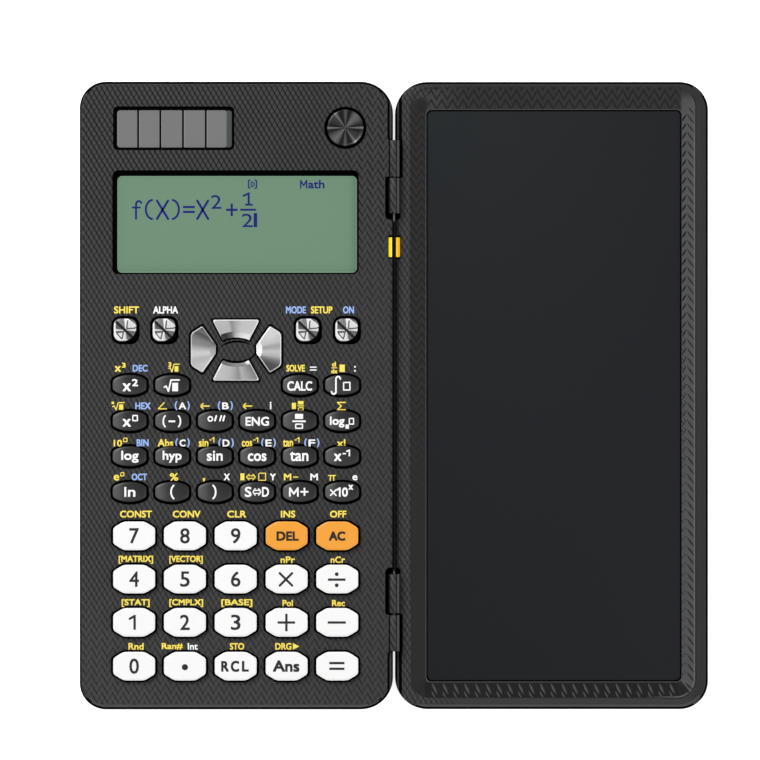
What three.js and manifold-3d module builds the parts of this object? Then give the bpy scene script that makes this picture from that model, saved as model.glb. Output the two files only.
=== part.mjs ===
// Folding pocket calculator with a writing-tablet cover, opened flat on its back.
// Millimetres, +Z up.  X = 0 is the hinge line; the calculator half lies at -X, the
// tablet half at +X, both backs lie in the plane z = 0 and +Y is the top edge of both.
import * as THREE from 'three';
import { mergeVertices } from 'three/addons/utils/BufferGeometryUtils.js';
import Module from 'manifold-3d';

const wasm = await Module();
wasm.setup();

// ---------------------------------------------------------------- overall sizes
const HALF_W = 83.6;          // hinge line to the outer edge of each half
const HALF_H = 83.5;          // half of the height of both halves
const CALC_T = 9.4;           // thickness of the calculator half
const TAB_T = 6.6;            // thickness of the tablet half
const FOLD_GAP = 0.3;         // between the two faces when the cover is shut
const AXIS_Z = (CALC_T + TAB_T + FOLD_GAP) / 2;   // height of the hinge axis
const GAP = 0.3;              // clearance between parts that are fitted together

// ---------------------------------------------------------------- outlines
const R_OUT_CALC = 7.0;       // corner radius, outer side of the calculator half
const R_OUT_TAB = 7.5;        // corner radius, outer side of the tablet half
const R_HINGE = 8.6;          // corner radius next to the hinge, both halves
const END_X = 0.27;           // side wall next to the hinge, beyond the knuckles
const MID_X = 0.53;           // side wall next to the hinge, between the knuckles
const SHOULDER_CALC = 1.75;   // where the calculator face stops beyond the knuckles
const SHOULDER_TAB = 2.1;     // where the tablet face stops beyond the knuckles
const SHOULDER_DROP = 1.5;    // how far the shoulder lies below the face
const EDGE = 0.7;             // rounding of the long outer edges

// ---------------------------------------------------------------- hinge
const BARREL_R = 1.55;
const BORE_R = 0.85;
const ROD_R = 0.55;
const NOTCH_R = 2.25;
// Y ranges of the knuckles: the outer one of each pair belongs to the calculator
const KNUCKLES_CALC = [[58.2, 68.0], [-68.1, -58.4]];
const KNUCKLES_TAB = [[48.5, 57.9], [-57.9, -47.5]];
const HINGE_ZONE = [-68.3, 68.2];
const KNUCKLE_GAP = 0.35;

// ---------------------------------------------------------------- calculator stack
const SPLIT_Z = 3.7;          // parting line between front housing and back cover
const FLOOR_T = 1.5;          // back cover floor
const PLATE_Z = 7.9;          // underside of the keyboard plate
const WALL = 1.8;
const PCB_Z = [2.6, 3.8];
const MAT_Z = [4.1, 4.9];
const LCD_Z = [5.9, 7.6];
const FLANGE_Z = [6.7, 7.6];
const CELL = { x: -44.0, y: 46.0, r: 10.0, z: [1.8, 5.0] };
const BOSSES = [[-77.5, 71.0], [-24.0, 73.5], [-79.2, 16.5], [-5.9, 6.5], [-79.2, -73.0], [-5.9, -73.0]];
const BOSS_R = 1.9;

// ---------------------------------------------------------------- windows
const LCD_OPEN = { x: [-74.9, -9.5], y: [32.3, 59.8], r: 1.5 };
const LCD_GLASS = { x: [-77.0, -7.9], y: [30.2, 61.9] };
const SOLAR = { x: [-74.6, -42.6], y: [65.4, 76.8], r: 1.1, z: [7.9, 8.6] };

// ---------------------------------------------------------------- keys
const KEY_TRAVEL_ROOM = 1.2;
const FN_FACE = [9.3, 5.6];
const FN_HOLE = [10.0, 6.4];
const FN_TOP = 10.5;
const NUM_FACE = [11.5, 7.7];
const NUM_HOLE = [12.1, 8.35];
const NUM_FLAT = [5.6, 4.3];
const NUM_TOP = 10.9;
const GEM_FACE = 6.5;
const GEM_HOLE = 7.3;
const GEM_R = 1.9;
const GEM_TOP = 10.7;
const ERASE = { x: -12.95, y: 71.2, r: 4.86, hole: 5.5, top: 9.9 };

const FN_X = [-70.3, -59.0, -47.65, -36.4, -25.05, -13.8];
const FN_Y = [2.75, -6.8, -16.2, -25.7];
const NUM_X = [-69.1, -55.6, -42.1, -28.55, -15.1];
const NUM_Y = [-37.3, -48.8, -60.3, -71.95];
const GEM_Y = 17.4;
const GEM_X = [-71.45, -61.1, -22.95, -12.55];

const FN_NAMES = [
  ['square', 'root', null, null, 'calc', 'integral'],
  ['power', 'negative', 'degrees', 'engineering', 'fraction', 'log_base'],
  ['log', 'hyperbolic', 'sine', 'cosine', 'tangent', 'reciprocal'],
  ['natural_log', 'open_bracket', 'close_bracket', 'convert', 'memory_plus', 'exponent'],
];
const NUM_NAMES = [
  ['7', '8', '9', 'delete', 'all_clear'],
  ['4', '5', '6', 'multiply', 'divide'],
  ['1', '2', '3', 'plus', 'minus'],
  ['0', 'point', 'recall', 'answer', 'equals'],
];
const GEM_NAMES = ['shift', 'alpha', 'mode', 'on'];

// navigation pad, measured from its centre
const PAD = { x: -42.0, y: 12.0 };
const PAD_UP = [[-6.6, 8.3], [6.6, 8.3], [3.45, 2.75], [1.3, 3.1], [-1.3, 3.1], [-3.45, 2.75]];
const PAD_RIGHT = [[8.9, 6.9], [12.3, 4.6], [12.3, -4.2], [8.9, -6.35], [5.15, -1.0], [5.05, 1.45]];
const PAD_TOP = 10.5;
const PAD_GAP = 0.42;
const PAD_TILT_BAR = { lr: [6.5, 7.1], ud: [5.4, 6.0] };

// ---------------------------------------------------------------- tablet
const PANEL = { x: [8.9, 76.3], y: [-75.9, 75.8], r: 1.3, z: [2.6, 4.2] };
const POCKET_Z = 2.3;
const LIP_Z = 4.7;
const LIP_W = 0.5;
const SLOPE = { x: [4.4, 80.2], y: [-80.5, 81.8], r: 5.0 };

// ---------------------------------------------------------------- flex ribbon
const RIBBON_Y = [36.8, 42.2];
const RIBBON_T = 0.2;
const RIBBON_SLOT = 0.45;

// ================================================================ helpers
const V = (x, y) => [x, y];

function roundedRect(x0, x1, y0, y1, r, seg = 5) {
  const rr = Array.isArray(r) ? r : [r, r, r, r];        // +x+y, -x+y, -x-y, +x-y
  const c = [[x1, y1, 0], [x0, y1, 90], [x0, y0, 180], [x1, y0, 270]];
  const s = [[-1, -1], [1, -1], [1, 1], [-1, 1]];
  const out = [];
  c.forEach(([cx, cy, a0], i) => {
    const R = rr[i], ox = cx + s[i][0] * R, oy = cy + s[i][1] * R;
    for (let k = 0; k <= seg; k++) {
      const a = ((a0 + (90 * k) / seg) * Math.PI) / 180;
      out.push(V(ox + R * Math.cos(a), oy + R * Math.sin(a)));
    }
  });
  return out;
}

function circle(x, y, r, n = 24) {
  return Array.from({ length: n }, (_, k) => V(x + r * Math.cos((2 * Math.PI * (k + 0.5)) / n), y + r * Math.sin((2 * Math.PI * (k + 0.5)) / n)));
}

// barrel-shaped outline: an ellipse wider than w, cut off by straight sides
function barrel(x, y, w, h, seg = 3) {
  const a = (w / 2) * 1.13, b = h / 2, t0 = Math.acos(w / 2 / a);
  const q = Array.from({ length: seg }, (_, k) => t0 + ((Math.PI / 2 - t0) * k) / seg + (k ? 0 : 0));
  const pts = [];
  const quad = (sx, sy, list) => list.forEach((t) => pts.push(V(x + sx * Math.min(a * Math.cos(t), w / 2), y + sy * b * Math.sin(t))));
  const up = [...q, Math.PI / 2];
  quad(1, 1, up);
  quad(-1, 1, [...q].reverse());
  quad(-1, -1, q);
  quad(-1, -1, [Math.PI / 2]);
  quad(1, -1, [...q].reverse());
  return pts;
}

function octagon(x, y, w, h, fw, fh) {
  return [V(x + w / 2, y - fh / 2), V(x + w / 2, y + fh / 2), V(x + fw / 2, y + h / 2), V(x - fw / 2, y + h / 2),
    V(x - w / 2, y + fh / 2), V(x - w / 2, y - fh / 2), V(x - fw / 2, y - h / 2), V(x + fw / 2, y - h / 2)];
}

function area(p) {
  let a = 0;
  p.forEach(([x, y], i) => { const [u, v] = p[(i + 1) % p.length]; a += x * v - u * y; });
  return a / 2;
}

// moves every edge of a polygon outwards by d (mitred corners)
function grow(p, d) {
  const q = area(p) < 0 ? [...p].reverse() : p;
  const n = q.length;
  return q.map(([x, y], i) => {
    const [ax, ay] = q[(i + n - 1) % n], [bx, by] = q[(i + 1) % n];
    const l1 = Math.hypot(x - ax, y - ay), l2 = Math.hypot(bx - x, by - y);
    const n1 = [(y - ay) / l1, -(x - ax) / l1], n2 = [(by - y) / l2, -(bx - x) / l2];
    const k = d / (1 + n1[0] * n2[0] + n1[1] * n2[1]);
    return V(x + (n1[0] + n2[0]) * k, y + (n1[1] + n2[1]) * k);
  });
}

const moved = (p, dx, dy) => p.map(([x, y]) => V(x + dx, y + dy));

// a closed body through rings of equal point count, each ring = [points, z]
function loft(rings) {
  const rs = rings.map(([p, z]) => [area(p) < 0 ? [...p].reverse() : p, z]);
  const n = rs[0][0].length;
  const pos = [], idx = [];
  rs.forEach(([p, z]) => p.forEach(([x, y]) => pos.push(x, y, z)));
  for (let k = 0; k + 1 < rs.length; k++)
    for (let i = 0; i < n; i++) {
      const a = k * n + i, b = k * n + ((i + 1) % n), c = a + n, d = b + n;
      idx.push(a, b, d, a, d, c);
    }
  const cap = (k, up) => {
    const pts = rs[k][0].map(([x, y]) => new THREE.Vector2(x, y));
    THREE.ShapeUtils.triangulateShape(pts, []).forEach(([a, b, c]) => (up ? idx.push(k * n + a, k * n + b, k * n + c) : idx.push(k * n + a, k * n + c, k * n + b)));
  };
  cap(0, false);
  cap(rs.length - 1, true);
  const g = new THREE.BufferGeometry();
  g.setAttribute('position', new THREE.BufferAttribute(new Float32Array(pos), 3));
  g.setIndex(idx);
  return g;
}

function solid(geo) {
  const g = geo.clone();
  Object.keys(g.attributes).forEach((a) => a !== 'position' && g.deleteAttribute(a));
  const m = mergeVertices(g, 1e-5);
  return new wasm.Manifold(new wasm.Mesh({ numProp: 3, vertProperties: new Float32Array(m.attributes.position.array), triVerts: new Uint32Array(m.index.array) }));
}

function geometry(man) {
  const m = man.getMesh();
  const g = new THREE.BufferGeometry();
  g.setAttribute('position', new THREE.BufferAttribute(new Float32Array(m.vertProperties), 3));
  g.setIndex(Array.from(m.triVerts));
  g.computeVertexNormals();
  return g;
}

const prism = (p, z0, z1) => solid(loft([[p, z0], [p, z1]]));
const box = (x0, x1, y0, y1, z0, z1) => prism([V(x0, y0), V(x1, y0), V(x1, y1), V(x0, y1)], z0, z1);
const sum = (list) => list.reduce((a, b) => a.add(b));
const cut = (a, list) => list.reduce((m, b) => m.subtract(b), a);

// a bar along Y whose section is given in the XZ plane
function alongY(section, y0, y1) {
  const s = new THREE.Shape(section.map(([x, z]) => new THREE.Vector2(x, z)));
  const g = new THREE.ExtrudeGeometry(s, { depth: y1 - y0, bevelEnabled: false });
  g.rotateX(Math.PI / 2);          // section y -> z, depth -> -y
  g.translate(0, y1, 0);
  return solid(g);
}

const ring16 = (r, n = 16) => Array.from({ length: n }, (_, k) => V(r * Math.cos((2 * Math.PI * (k + 0.5)) / n), AXIS_Z + r * Math.sin((2 * Math.PI * (k + 0.5)) / n)));

const group = new THREE.Group();
group.name = 'folding_calculator';

function put(name, geo, color, roughness = 0.6, metalness = 0.0) {
  const mesh = new THREE.Mesh(geo, new THREE.MeshStandardMaterial({ color, roughness, metalness }));
  mesh.name = name;
  group.add(mesh);
}

// ================================================================ calculator shell
// outline of the calculator half, straight along the hinge
const calcOutline = roundedRect(-HALF_W, -END_X, -HALF_H, HALF_H, [R_HINGE, R_OUT_CALC, R_OUT_CALC, R_HINGE], 6);
const tabOutline = roundedRect(END_X, HALF_W, -HALF_H, HALF_H, [R_OUT_TAB, R_HINGE, R_HINGE, R_OUT_TAB], 6);

// shoulders beyond the knuckles: the face is cut back and steps down with a rounded lip
function shoulder(side, faceX, topZ, y0, y1) {
  const s = side;
  const z = topZ - SHOULDER_DROP;
  const sec = [V(s * faceX, topZ + 1), V(s * faceX, z + 0.15), V(s * (faceX - 0.25), z), V(s * (faceX - 0.7), z),
    V(s * (END_X + 0.55), z - 0.12), V(s * (END_X + 0.18), z - 0.5), V(s * (END_X - 0.02), z - 1.1), V(s * (END_X - 1.0), z - 1.1), V(s * (END_X - 1.0), topZ + 1)];
  return alongY(s > 0 ? sec : [...sec].reverse(), y0, y1);
}

// notches that let the other half's knuckles turn
function notch(side, topZ, y0, y1) {
  return alongY(ring16(NOTCH_R), y0, y1).add(box(side > 0 ? -0.6 : -NOTCH_R, side > 0 ? NOTCH_R : 0.6, y0, y1, AXIS_Z, topZ + 1));
}

const shellCalc = loft([
  [grow(calcOutline, -0.8), 0], [grow(calcOutline, -0.25), 0.3], [calcOutline, 0.9],
  [calcOutline, CALC_T - EDGE], [grow(calcOutline, -0.2), CALC_T - 0.25], [grow(calcOutline, -EDGE), CALC_T],
]);

const calcRelief = [
  shoulder(-1, SHOULDER_CALC, CALC_T, HINGE_ZONE[1], HALF_H + 2),
  shoulder(-1, SHOULDER_CALC, CALC_T, -HALF_H - 2, HINGE_ZONE[0]),
  // between the knuckles the wall stands further back, leaving room for the rod
  box(-MID_X, 1, HINGE_ZONE[0], HINGE_ZONE[1], -1, CALC_T + 1),
  alongY(ring16(BORE_R), HINGE_ZONE[0] - 0.2, HINGE_ZONE[1] + 0.2),
  ...KNUCKLES_TAB.map(([a, b]) => notch(-1, CALC_T, a - KNUCKLE_GAP, b + KNUCKLE_GAP)),
  // the pocket for the ribbon
  box(-1.5, 1, RIBBON_Y[0] - RIBBON_SLOT, RIBBON_Y[1] + RIBBON_SLOT, 5.2, CALC_T + 1),
];

const calcKnuckles = KNUCKLES_CALC.map(([a, b]) => cut(
  alongY(ring16(BARREL_R), a, b).add(box(-3.2, 0, a, b, AXIS_Z - 1.6, AXIS_Z + 0.75)),
  [alongY(ring16(BORE_R), a - 1, b + 1)]));
// room for the calculator's own knuckles inside the straight wall
const calcBody = sum([cut(solid(shellCalc), calcRelief.slice(0, 4).concat(
  KNUCKLES_CALC.map(([a, b]) => box(-1.2, 1, a - KNUCKLE_GAP, b + KNUCKLE_GAP, AXIS_Z - 2.3, CALC_T + 1)))), ...calcKnuckles])
  .subtract(calcRelief[4]).subtract(calcRelief[5]).subtract(calcRelief[6]);

const inCalc = roundedRect(-HALF_W + WALL, -2.95, -HALF_H + WALL, HALF_H - WALL, [R_HINGE - WALL, R_OUT_CALC - WALL, R_OUT_CALC - WALL, R_HINGE - WALL], 4);

// ---------------------------------------------------------------- key outlines
const keys = [];
const ell = (w, h) => (x, y, d) => barrel(x, y, w + 2 * d, h + 2 * d);
FN_NAMES.forEach((row, r) => row.forEach((name, c) => {
  if (!name) return;
  const x = FN_X[c], y = FN_Y[r];
  keys.push({ name: `key_${name}`, face: barrel(x, y, ...FN_FACE), inner: barrel(x, y, FN_FACE[0] - 0.9, FN_FACE[1] - 0.9), hole: barrel(x, y, ...FN_HOLE), flange: barrel(x, y, FN_HOLE[0] + 0.6, FN_HOLE[1] + 0.6), top: FN_TOP, color: 0x2b2b2c, rough: 0.35, metal: 0 });
}));
NUM_NAMES.forEach((row, r) => row.forEach((name, c) => {
  const x = NUM_X[c], y = NUM_Y[r];
  const oct = (w, h, k) => octagon(x, y, w, h, NUM_FLAT[0] + k, NUM_FLAT[1] + k);
  keys.push({ name: `key_${name}`, face: oct(...NUM_FACE, 0), inner: oct(NUM_FACE[0] - 0.9, NUM_FACE[1] - 0.9, -0.35), hole: oct(...NUM_HOLE, 0.25), flange: oct(NUM_HOLE[0] + 0.6, NUM_HOLE[1] + 0.6, 0.5), top: NUM_TOP,
    color: r === 0 && c > 2 ? 0xf5a83c : 0xe9e9e6, rough: 0.4, metal: 0 });
}));
GEM_NAMES.forEach((name, c) => {
  const x = GEM_X[c], y = GEM_Y;
  const sq = (w, r) => roundedRect(x - w / 2, x + w / 2, y - w / 2, y + w / 2, r, 3);
  keys.push({ name: `key_${name}`, face: sq(GEM_FACE, GEM_R), inner: sq(GEM_FACE - 0.8, GEM_R - 0.4), hole: sq(GEM_HOLE, GEM_R + 0.4), flange: sq(GEM_HOLE + 0.6, GEM_R + 0.7), top: GEM_TOP, color: 0xc8c8c8, rough: 0.25, metal: 1 });
});
keys.push({ name: 'erase_button', face: circle(ERASE.x, ERASE.y, ERASE.r, 20), inner: circle(ERASE.x, ERASE.y, ERASE.r - 0.3, 20), hole: circle(ERASE.x, ERASE.y, ERASE.hole, 20), flange: circle(ERASE.x, ERASE.y, ERASE.hole + 0.35, 20), top: ERASE.top, color: 0x55565a, rough: 0.3, metal: 1 });

const padUp = moved(PAD_UP, PAD.x, PAD.y);
const padDown = moved(PAD_UP.map(([x, y]) => V(x, -y)).map(([x, y]) => V(x, y * 0.985)), PAD.x, PAD.y);
const padRight = moved(PAD_RIGHT, PAD.x, PAD.y);
const padLeft = moved(PAD_RIGHT.map(([x, y]) => V(-x, y)), PAD.x, PAD.y);

// ---------------------------------------------------------------- front housing
const Z0 = PLATE_Z - 0.2, Z1 = CALC_T + 1;
const bossPosts = BOSSES.map(([x, y]) => prism(circle(x, y, BOSS_R, 10), MAT_Z[0] + 0.1, PLATE_Z + 0.3));
const solarBlock = box(SOLAR.x[0] - 1.2, SOLAR.x[1] + 1.2, SOLAR.y[0] - 1.2, Math.min(SOLAR.y[1] + 1.2, HALF_H - WALL + 0.2), 7.1, PLATE_Z + 0.2);
let front = cut(calcBody, [
  box(-HALF_W - 1, 2, -HALF_H - 1, HALF_H + 1, -1, SPLIT_Z + GAP),
  prism(inCalc, SPLIT_Z - 0.5, PLATE_Z),
]);
front = sum([front, ...bossPosts, solarBlock]);
front = cut(front, [
  ...keys.map((k) => prism(k.hole, Z0, Z1)),
  ...[padUp, padDown, padRight, padLeft].map((p) => prism(p, Z0, Z1)),
  prism(roundedRect(...LCD_OPEN.x, ...LCD_OPEN.y, LCD_OPEN.r, 3), Z0, Z1),
  prism(roundedRect(...SOLAR.x, ...SOLAR.y, SOLAR.r, 2), 7.6, Z1),
  prism(circle(SOLAR.x[1] - 3, SOLAR.y[0] + 3, 1.2, 8), 6.5, 8.2),
  ...BOSSES.map(([x, y]) => prism(circle(x, y, 0.8, 6), MAT_Z[0] - 0.5, 7.6)),
  // slot that leads the ribbon through the hinge-side wall
  box(-3.4, 0, RIBBON_Y[0] - RIBBON_SLOT, RIBBON_Y[1] + RIBBON_SLOT, 5.2, 6.6),
]);
put('front_housing', geometry(front), 0x424242, 0.55);

// ---------------------------------------------------------------- back cover
const FEET = [[-72.5, 71.5], [-12.5, 71.5], [-72.5, -71.5], [-12.5, -71.5]];
let back = cut(calcBody, [
  box(-HALF_W - 1, 2, -HALF_H - 1, HALF_H + 1, SPLIT_Z, CALC_T + 5),
  prism(inCalc, FLOOR_T, CALC_T),
]);
back = sum([back, ...BOSSES.map(([x, y]) => prism(circle(x, y, BOSS_R + 0.6, 10), FLOOR_T - 0.3, PCB_Z[0] - GAP))]);
back = cut(back, [
  ...BOSSES.map(([x, y]) => prism(circle(x, y, 1.0, 8), -0.5, 6)),
  ...BOSSES.map(([x, y]) => prism(circle(x, y, 1.7, 8), -0.5, 0.8)),
  ...FEET.map(([x, y]) => prism(circle(x + (x < -40 ? 4.5 : -4.5), y + (y > 0 ? -7 : 7), 4.0, 12), -0.5, 0.6)),
]);
put('back_cover', geometry(back), 0x3a3a3b, 0.6);

// ---------------------------------------------------------------- inside the calculator
const pcbOutline = roundedRect(-80.9, -3.5, -80.0, 79.5, 4.5, 2);
const pcb = cut(prism(pcbOutline, ...PCB_Z), [
  prism(circle(CELL.x, CELL.y, CELL.r + 0.6, 20), 0, 6),
  ...BOSSES.map(([x, y]) => prism(circle(x, y, 1.3, 8), 0, 6)),
]);
put('circuit_board', geometry(pcb), 0x2c6b3f, 0.5);

const matOutline = roundedRect(-80.6, -3.9, -79.5, 23.0, [1, 1, 5, 6], 2);
const mat = cut(prism(matOutline, ...MAT_Z), [
  box(PAD.x - 13.5, PAD.x + 13.5, PAD.y - 9.5, PAD.y + 9.5, 3, 6),
  ...BOSSES.map(([x, y]) => prism(circle(x, y, BOSS_R + 0.4, 10), 3, 6)),
]);
put('key_mat', geometry(mat), 0xb9bcbf, 0.8);

put('coin_cell', loft([[circle(CELL.x, CELL.y, CELL.r - 0.3, 20), CELL.z[0]], [circle(CELL.x, CELL.y, CELL.r, 20), CELL.z[0] + 0.35], [circle(CELL.x, CELL.y, CELL.r, 20), CELL.z[1]]]), 0xb5b5b5, 0.3, 1);

put('lcd_glass', loft([[roundedRect(...LCD_GLASS.x, ...LCD_GLASS.y, 0.6, 1), LCD_Z[0]], [roundedRect(...LCD_GLASS.x, ...LCD_GLASS.y, 0.6, 1), LCD_Z[1]]]), 0x73947b, 0.2);

put('solar_cell', loft([
  [roundedRect(SOLAR.x[0] + GAP, SOLAR.x[1] - GAP, SOLAR.y[0] + GAP, SOLAR.y[1] - GAP, 0.9, 2), SOLAR.z[0]],
  [roundedRect(SOLAR.x[0] + GAP, SOLAR.x[1] - GAP, SOLAR.y[0] + GAP, SOLAR.y[1] - GAP, 0.9, 2), SOLAR.z[1]],
]), 0x6f6a66, 0.25);

// ---------------------------------------------------------------- keys
keys.forEach((k) => {
  const bevel = k.name === 'erase_button' ? 0.25 : 0.5;
  put(k.name, loft([[k.flange, FLANGE_Z[0]], [k.flange, FLANGE_Z[1]], [k.face, FLANGE_Z[1]], [k.face, k.top - bevel], [k.inner, k.top]]), k.color, k.rough, k.metal);
});

// each rocker is two chromed lobes joined by a bar that passes under the housing's cross
function lobe(p, z0, bevel = 0.35) {
  const f = grow(p, -PAD_GAP);
  return solid(loft([[f, z0], [f, PAD_TOP - bevel], [grow(f, -bevel), PAD_TOP]]));
}
const lr = sum([lobe(padLeft, PAD_TILT_BAR.lr[0]), lobe(padRight, PAD_TILT_BAR.lr[0]), box(PAD.x - 8, PAD.x + 8, PAD.y - 1.6, PAD.y + 1.6, ...PAD_TILT_BAR.lr)]);
const ud = sum([lobe(padUp, PAD_TILT_BAR.ud[0]), lobe(padDown, PAD_TILT_BAR.ud[0]), box(PAD.x - 2.2, PAD.x + 2.2, PAD.y - 5.5, PAD.y + 5.5, ...PAD_TILT_BAR.ud)]);
put('dpad_left_right_rocker', geometry(lr), 0xc8c8c8, 0.25, 1);
put('dpad_up_down_rocker', geometry(ud), 0xc8c8c8, 0.25, 1);

// ================================================================ tablet half
const shellTab = loft([
  [grow(tabOutline, -0.8), 0], [grow(tabOutline, -0.25), 0.3], [tabOutline, 0.9],
  [tabOutline, TAB_T - EDGE], [grow(tabOutline, -0.2), TAB_T - 0.25], [grow(tabOutline, -EDGE), TAB_T],
]);
const slopeTop = roundedRect(...SLOPE.x, ...SLOPE.y, SLOPE.r, 4);
const slopeLow = roundedRect(PANEL.x[0] - LIP_W, PANEL.x[1] + LIP_W, PANEL.y[0] - LIP_W, PANEL.y[1] + LIP_W, 1.6, 4);
const pocket = roundedRect(PANEL.x[0] - GAP, PANEL.x[1] + GAP, PANEL.y[0] - GAP, PANEL.y[1] + GAP, PANEL.r + 0.1, 4);
const tabWeb = (a, b) => cut(
  alongY(ring16(BARREL_R), a, b).add(box(0.2, 1.75, a, b, TAB_T - 2.0, AXIS_Z)),
  [alongY(ring16(BORE_R), a - 1, b + 1)]);
let tablet = cut(solid(shellTab), [
  shoulder(1, SHOULDER_TAB, TAB_T, HINGE_ZONE[1], HALF_H + 2),
  shoulder(1, SHOULDER_TAB, TAB_T, -HALF_H - 2, HINGE_ZONE[0]),
  box(-1, MID_X, HINGE_ZONE[0], HINGE_ZONE[1], -1, TAB_T + 1),
  ...KNUCKLES_CALC.map(([a, b]) => notch(1, TAB_T, a - KNUCKLE_GAP, b + KNUCKLE_GAP)),
  solid(loft([[slopeLow, LIP_Z], [slopeTop, TAB_T], [slopeTop, TAB_T + 1]])),
  prism(pocket, POCKET_Z, TAB_T + 1),
  box(-1, 1.75, RIBBON_Y[0] - RIBBON_SLOT, RIBBON_Y[1] + RIBBON_SLOT, 2.7, TAB_T + 1),
  box(-1, 9.5, RIBBON_Y[0] - RIBBON_SLOT, RIBBON_Y[1] + RIBBON_SLOT, 2.7, 3.6),
]);
tablet = sum([tablet, ...KNUCKLES_TAB.map(([a, b]) => tabWeb(a, b))]);
put('tablet_shell', geometry(tablet), 0x424242, 0.55);

const panelOutline = roundedRect(...PANEL.x, ...PANEL.y, PANEL.r, 4);
put('writing_panel', loft([[panelOutline, PANEL.z[0]], [panelOutline, PANEL.z[1] - 0.1], [grow(panelOutline, -0.1), PANEL.z[1]]]), 0x26282a, 0.3);

// ================================================================ hinge rod and ribbon
put('hinge_rod', geometry(alongY(ring16(ROD_R, 12), HINGE_ZONE[0] + 0.35, HINGE_ZONE[1] - 0.35)), 0x1c1c1d, 0.3, 1);

// the ribbon leaves the circuit board, dips in the gap under the rod and enters the tablet
const spine = [[-5.6, 5.75], [-2.2, 5.75], [-1.15, 5.95], [-0.45, 5.7], [-0.2, 4.6], [0.0, 4.25], [0.2, 4.6], [0.45, 5.35], [0.95, 5.5], [1.25, 5.0], [1.35, 3.6], [1.7, 3.2], [3.2, 3.1], [8.1, 3.1]];
const side = (sgn) => spine.map(([x, z], i) => {
  const [ax, az] = spine[Math.max(0, i - 1)], [bx, bz] = spine[Math.min(spine.length - 1, i + 1)];
  const l = Math.hypot(bx - ax, bz - az);
  return V(x - (sgn * (bz - az) * RIBBON_T) / 2 / l, z + (sgn * (bx - ax) * RIBBON_T) / 2 / l);
});
put('flex_ribbon', geometry(alongY([...side(-1), ...side(1).reverse()], ...RIBBON_Y)), 0xd99a1c, 0.4);

export default group;
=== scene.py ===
import math
import bpy
import bmesh
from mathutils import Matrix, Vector


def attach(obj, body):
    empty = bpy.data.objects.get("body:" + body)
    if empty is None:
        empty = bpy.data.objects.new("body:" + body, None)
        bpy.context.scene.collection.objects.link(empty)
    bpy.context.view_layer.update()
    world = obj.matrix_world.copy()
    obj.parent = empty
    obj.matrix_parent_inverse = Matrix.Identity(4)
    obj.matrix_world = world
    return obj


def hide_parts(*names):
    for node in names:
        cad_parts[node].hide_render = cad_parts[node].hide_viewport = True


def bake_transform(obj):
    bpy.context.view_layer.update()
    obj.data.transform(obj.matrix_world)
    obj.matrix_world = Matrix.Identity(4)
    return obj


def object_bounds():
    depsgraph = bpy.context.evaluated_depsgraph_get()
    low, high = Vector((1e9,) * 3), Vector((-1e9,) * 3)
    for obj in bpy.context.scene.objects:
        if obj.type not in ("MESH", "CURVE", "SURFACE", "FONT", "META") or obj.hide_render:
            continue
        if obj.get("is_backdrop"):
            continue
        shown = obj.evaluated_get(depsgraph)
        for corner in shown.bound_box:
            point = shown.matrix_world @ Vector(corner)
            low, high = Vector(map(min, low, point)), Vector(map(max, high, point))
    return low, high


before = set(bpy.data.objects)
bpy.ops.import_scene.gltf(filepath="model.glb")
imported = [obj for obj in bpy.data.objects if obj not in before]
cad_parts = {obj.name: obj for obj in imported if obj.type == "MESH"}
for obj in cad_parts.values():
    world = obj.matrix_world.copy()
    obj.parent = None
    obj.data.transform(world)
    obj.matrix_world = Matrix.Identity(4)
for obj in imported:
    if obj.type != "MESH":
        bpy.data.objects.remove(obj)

CAD_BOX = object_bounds()
MM = 0.001
S = 0.26635                       # plan grid to millimetres
def PX(x): return (x - 394.0) * S
def PY(y): return (395.3 - y) * S

# sizes shared with the solids, in millimetres
HALF_W, HALF_H = 83.6, 83.5
CALC_T, TAB_T = 9.4, 6.6
AXIS_Z = 8.15
R_OUT_CALC, R_OUT_TAB, R_HINGE = 7.0, 7.5, 8.6
END_X, MID_X = 0.27, 0.53
SHOULDER_CALC, SHOULDER_TAB, SHOULDER_DROP = 1.75, 2.1, 1.5
SPLIT_Z = 3.7
PLATE_Z = 7.9
BARREL_R, BORE_R, ROD_R, NOTCH_R = 1.55, 0.85, 0.55, 2.25
KNUCKLES_CALC = [[58.2, 68.0], [-68.1, -58.4]]
KNUCKLES_TAB = [[48.5, 57.9], [-57.9, -47.5]]
HINGE_ZONE = [-68.3, 68.2]
KNUCKLE_GAP = 0.35
RIBBON_Y = [36.8, 42.2]
LCD_OPEN = (-74.9, -9.5, 32.3, 59.8)
SOLAR = (-74.6, -42.6, 65.4, 76.8)
FN_X = [-70.3, -59.0, -47.65, -36.4, -25.05, -13.8]
FN_Y = [2.75, -6.8, -16.2, -25.7]
NUM_X = [-69.1, -55.6, -42.1, -28.55, -15.1]
NUM_Y = [-37.3, -48.8, -60.3, -71.95]
GEM_X, GEM_Y = [-71.45, -61.1, -22.95, -12.55], 17.4
ERASE = (-12.95, 71.2)
PAD = (-42.0, 12.0)
PANEL = (8.9, 76.3, -75.9, 75.8)
SLOPE = (4.4, 80.2, -80.5, 81.8)
FN_TOP, NUM_TOP, GEM_TOP, PAD_TOP = 10.5, 10.9, 10.7, 10.5

FN_NAMES = [
    ["square", "root", None, None, "calc", "integral"],
    ["power", "negative", "degrees", "engineering", "fraction", "log_base"],
    ["log", "hyperbolic", "sine", "cosine", "tangent", "reciprocal"],
    ["natural_log", "open_bracket", "close_bracket", "convert", "memory_plus", "exponent"],
]
NUM_NAMES = [["7", "8", "9", "delete", "all_clear"], ["4", "5", "6", "multiply", "divide"],
             ["1", "2", "3", "plus", "minus"], ["0", "point", "recall", "answer", "equals"]]
GEM_NAMES = ["shift", "alpha", "mode", "on"]

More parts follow.
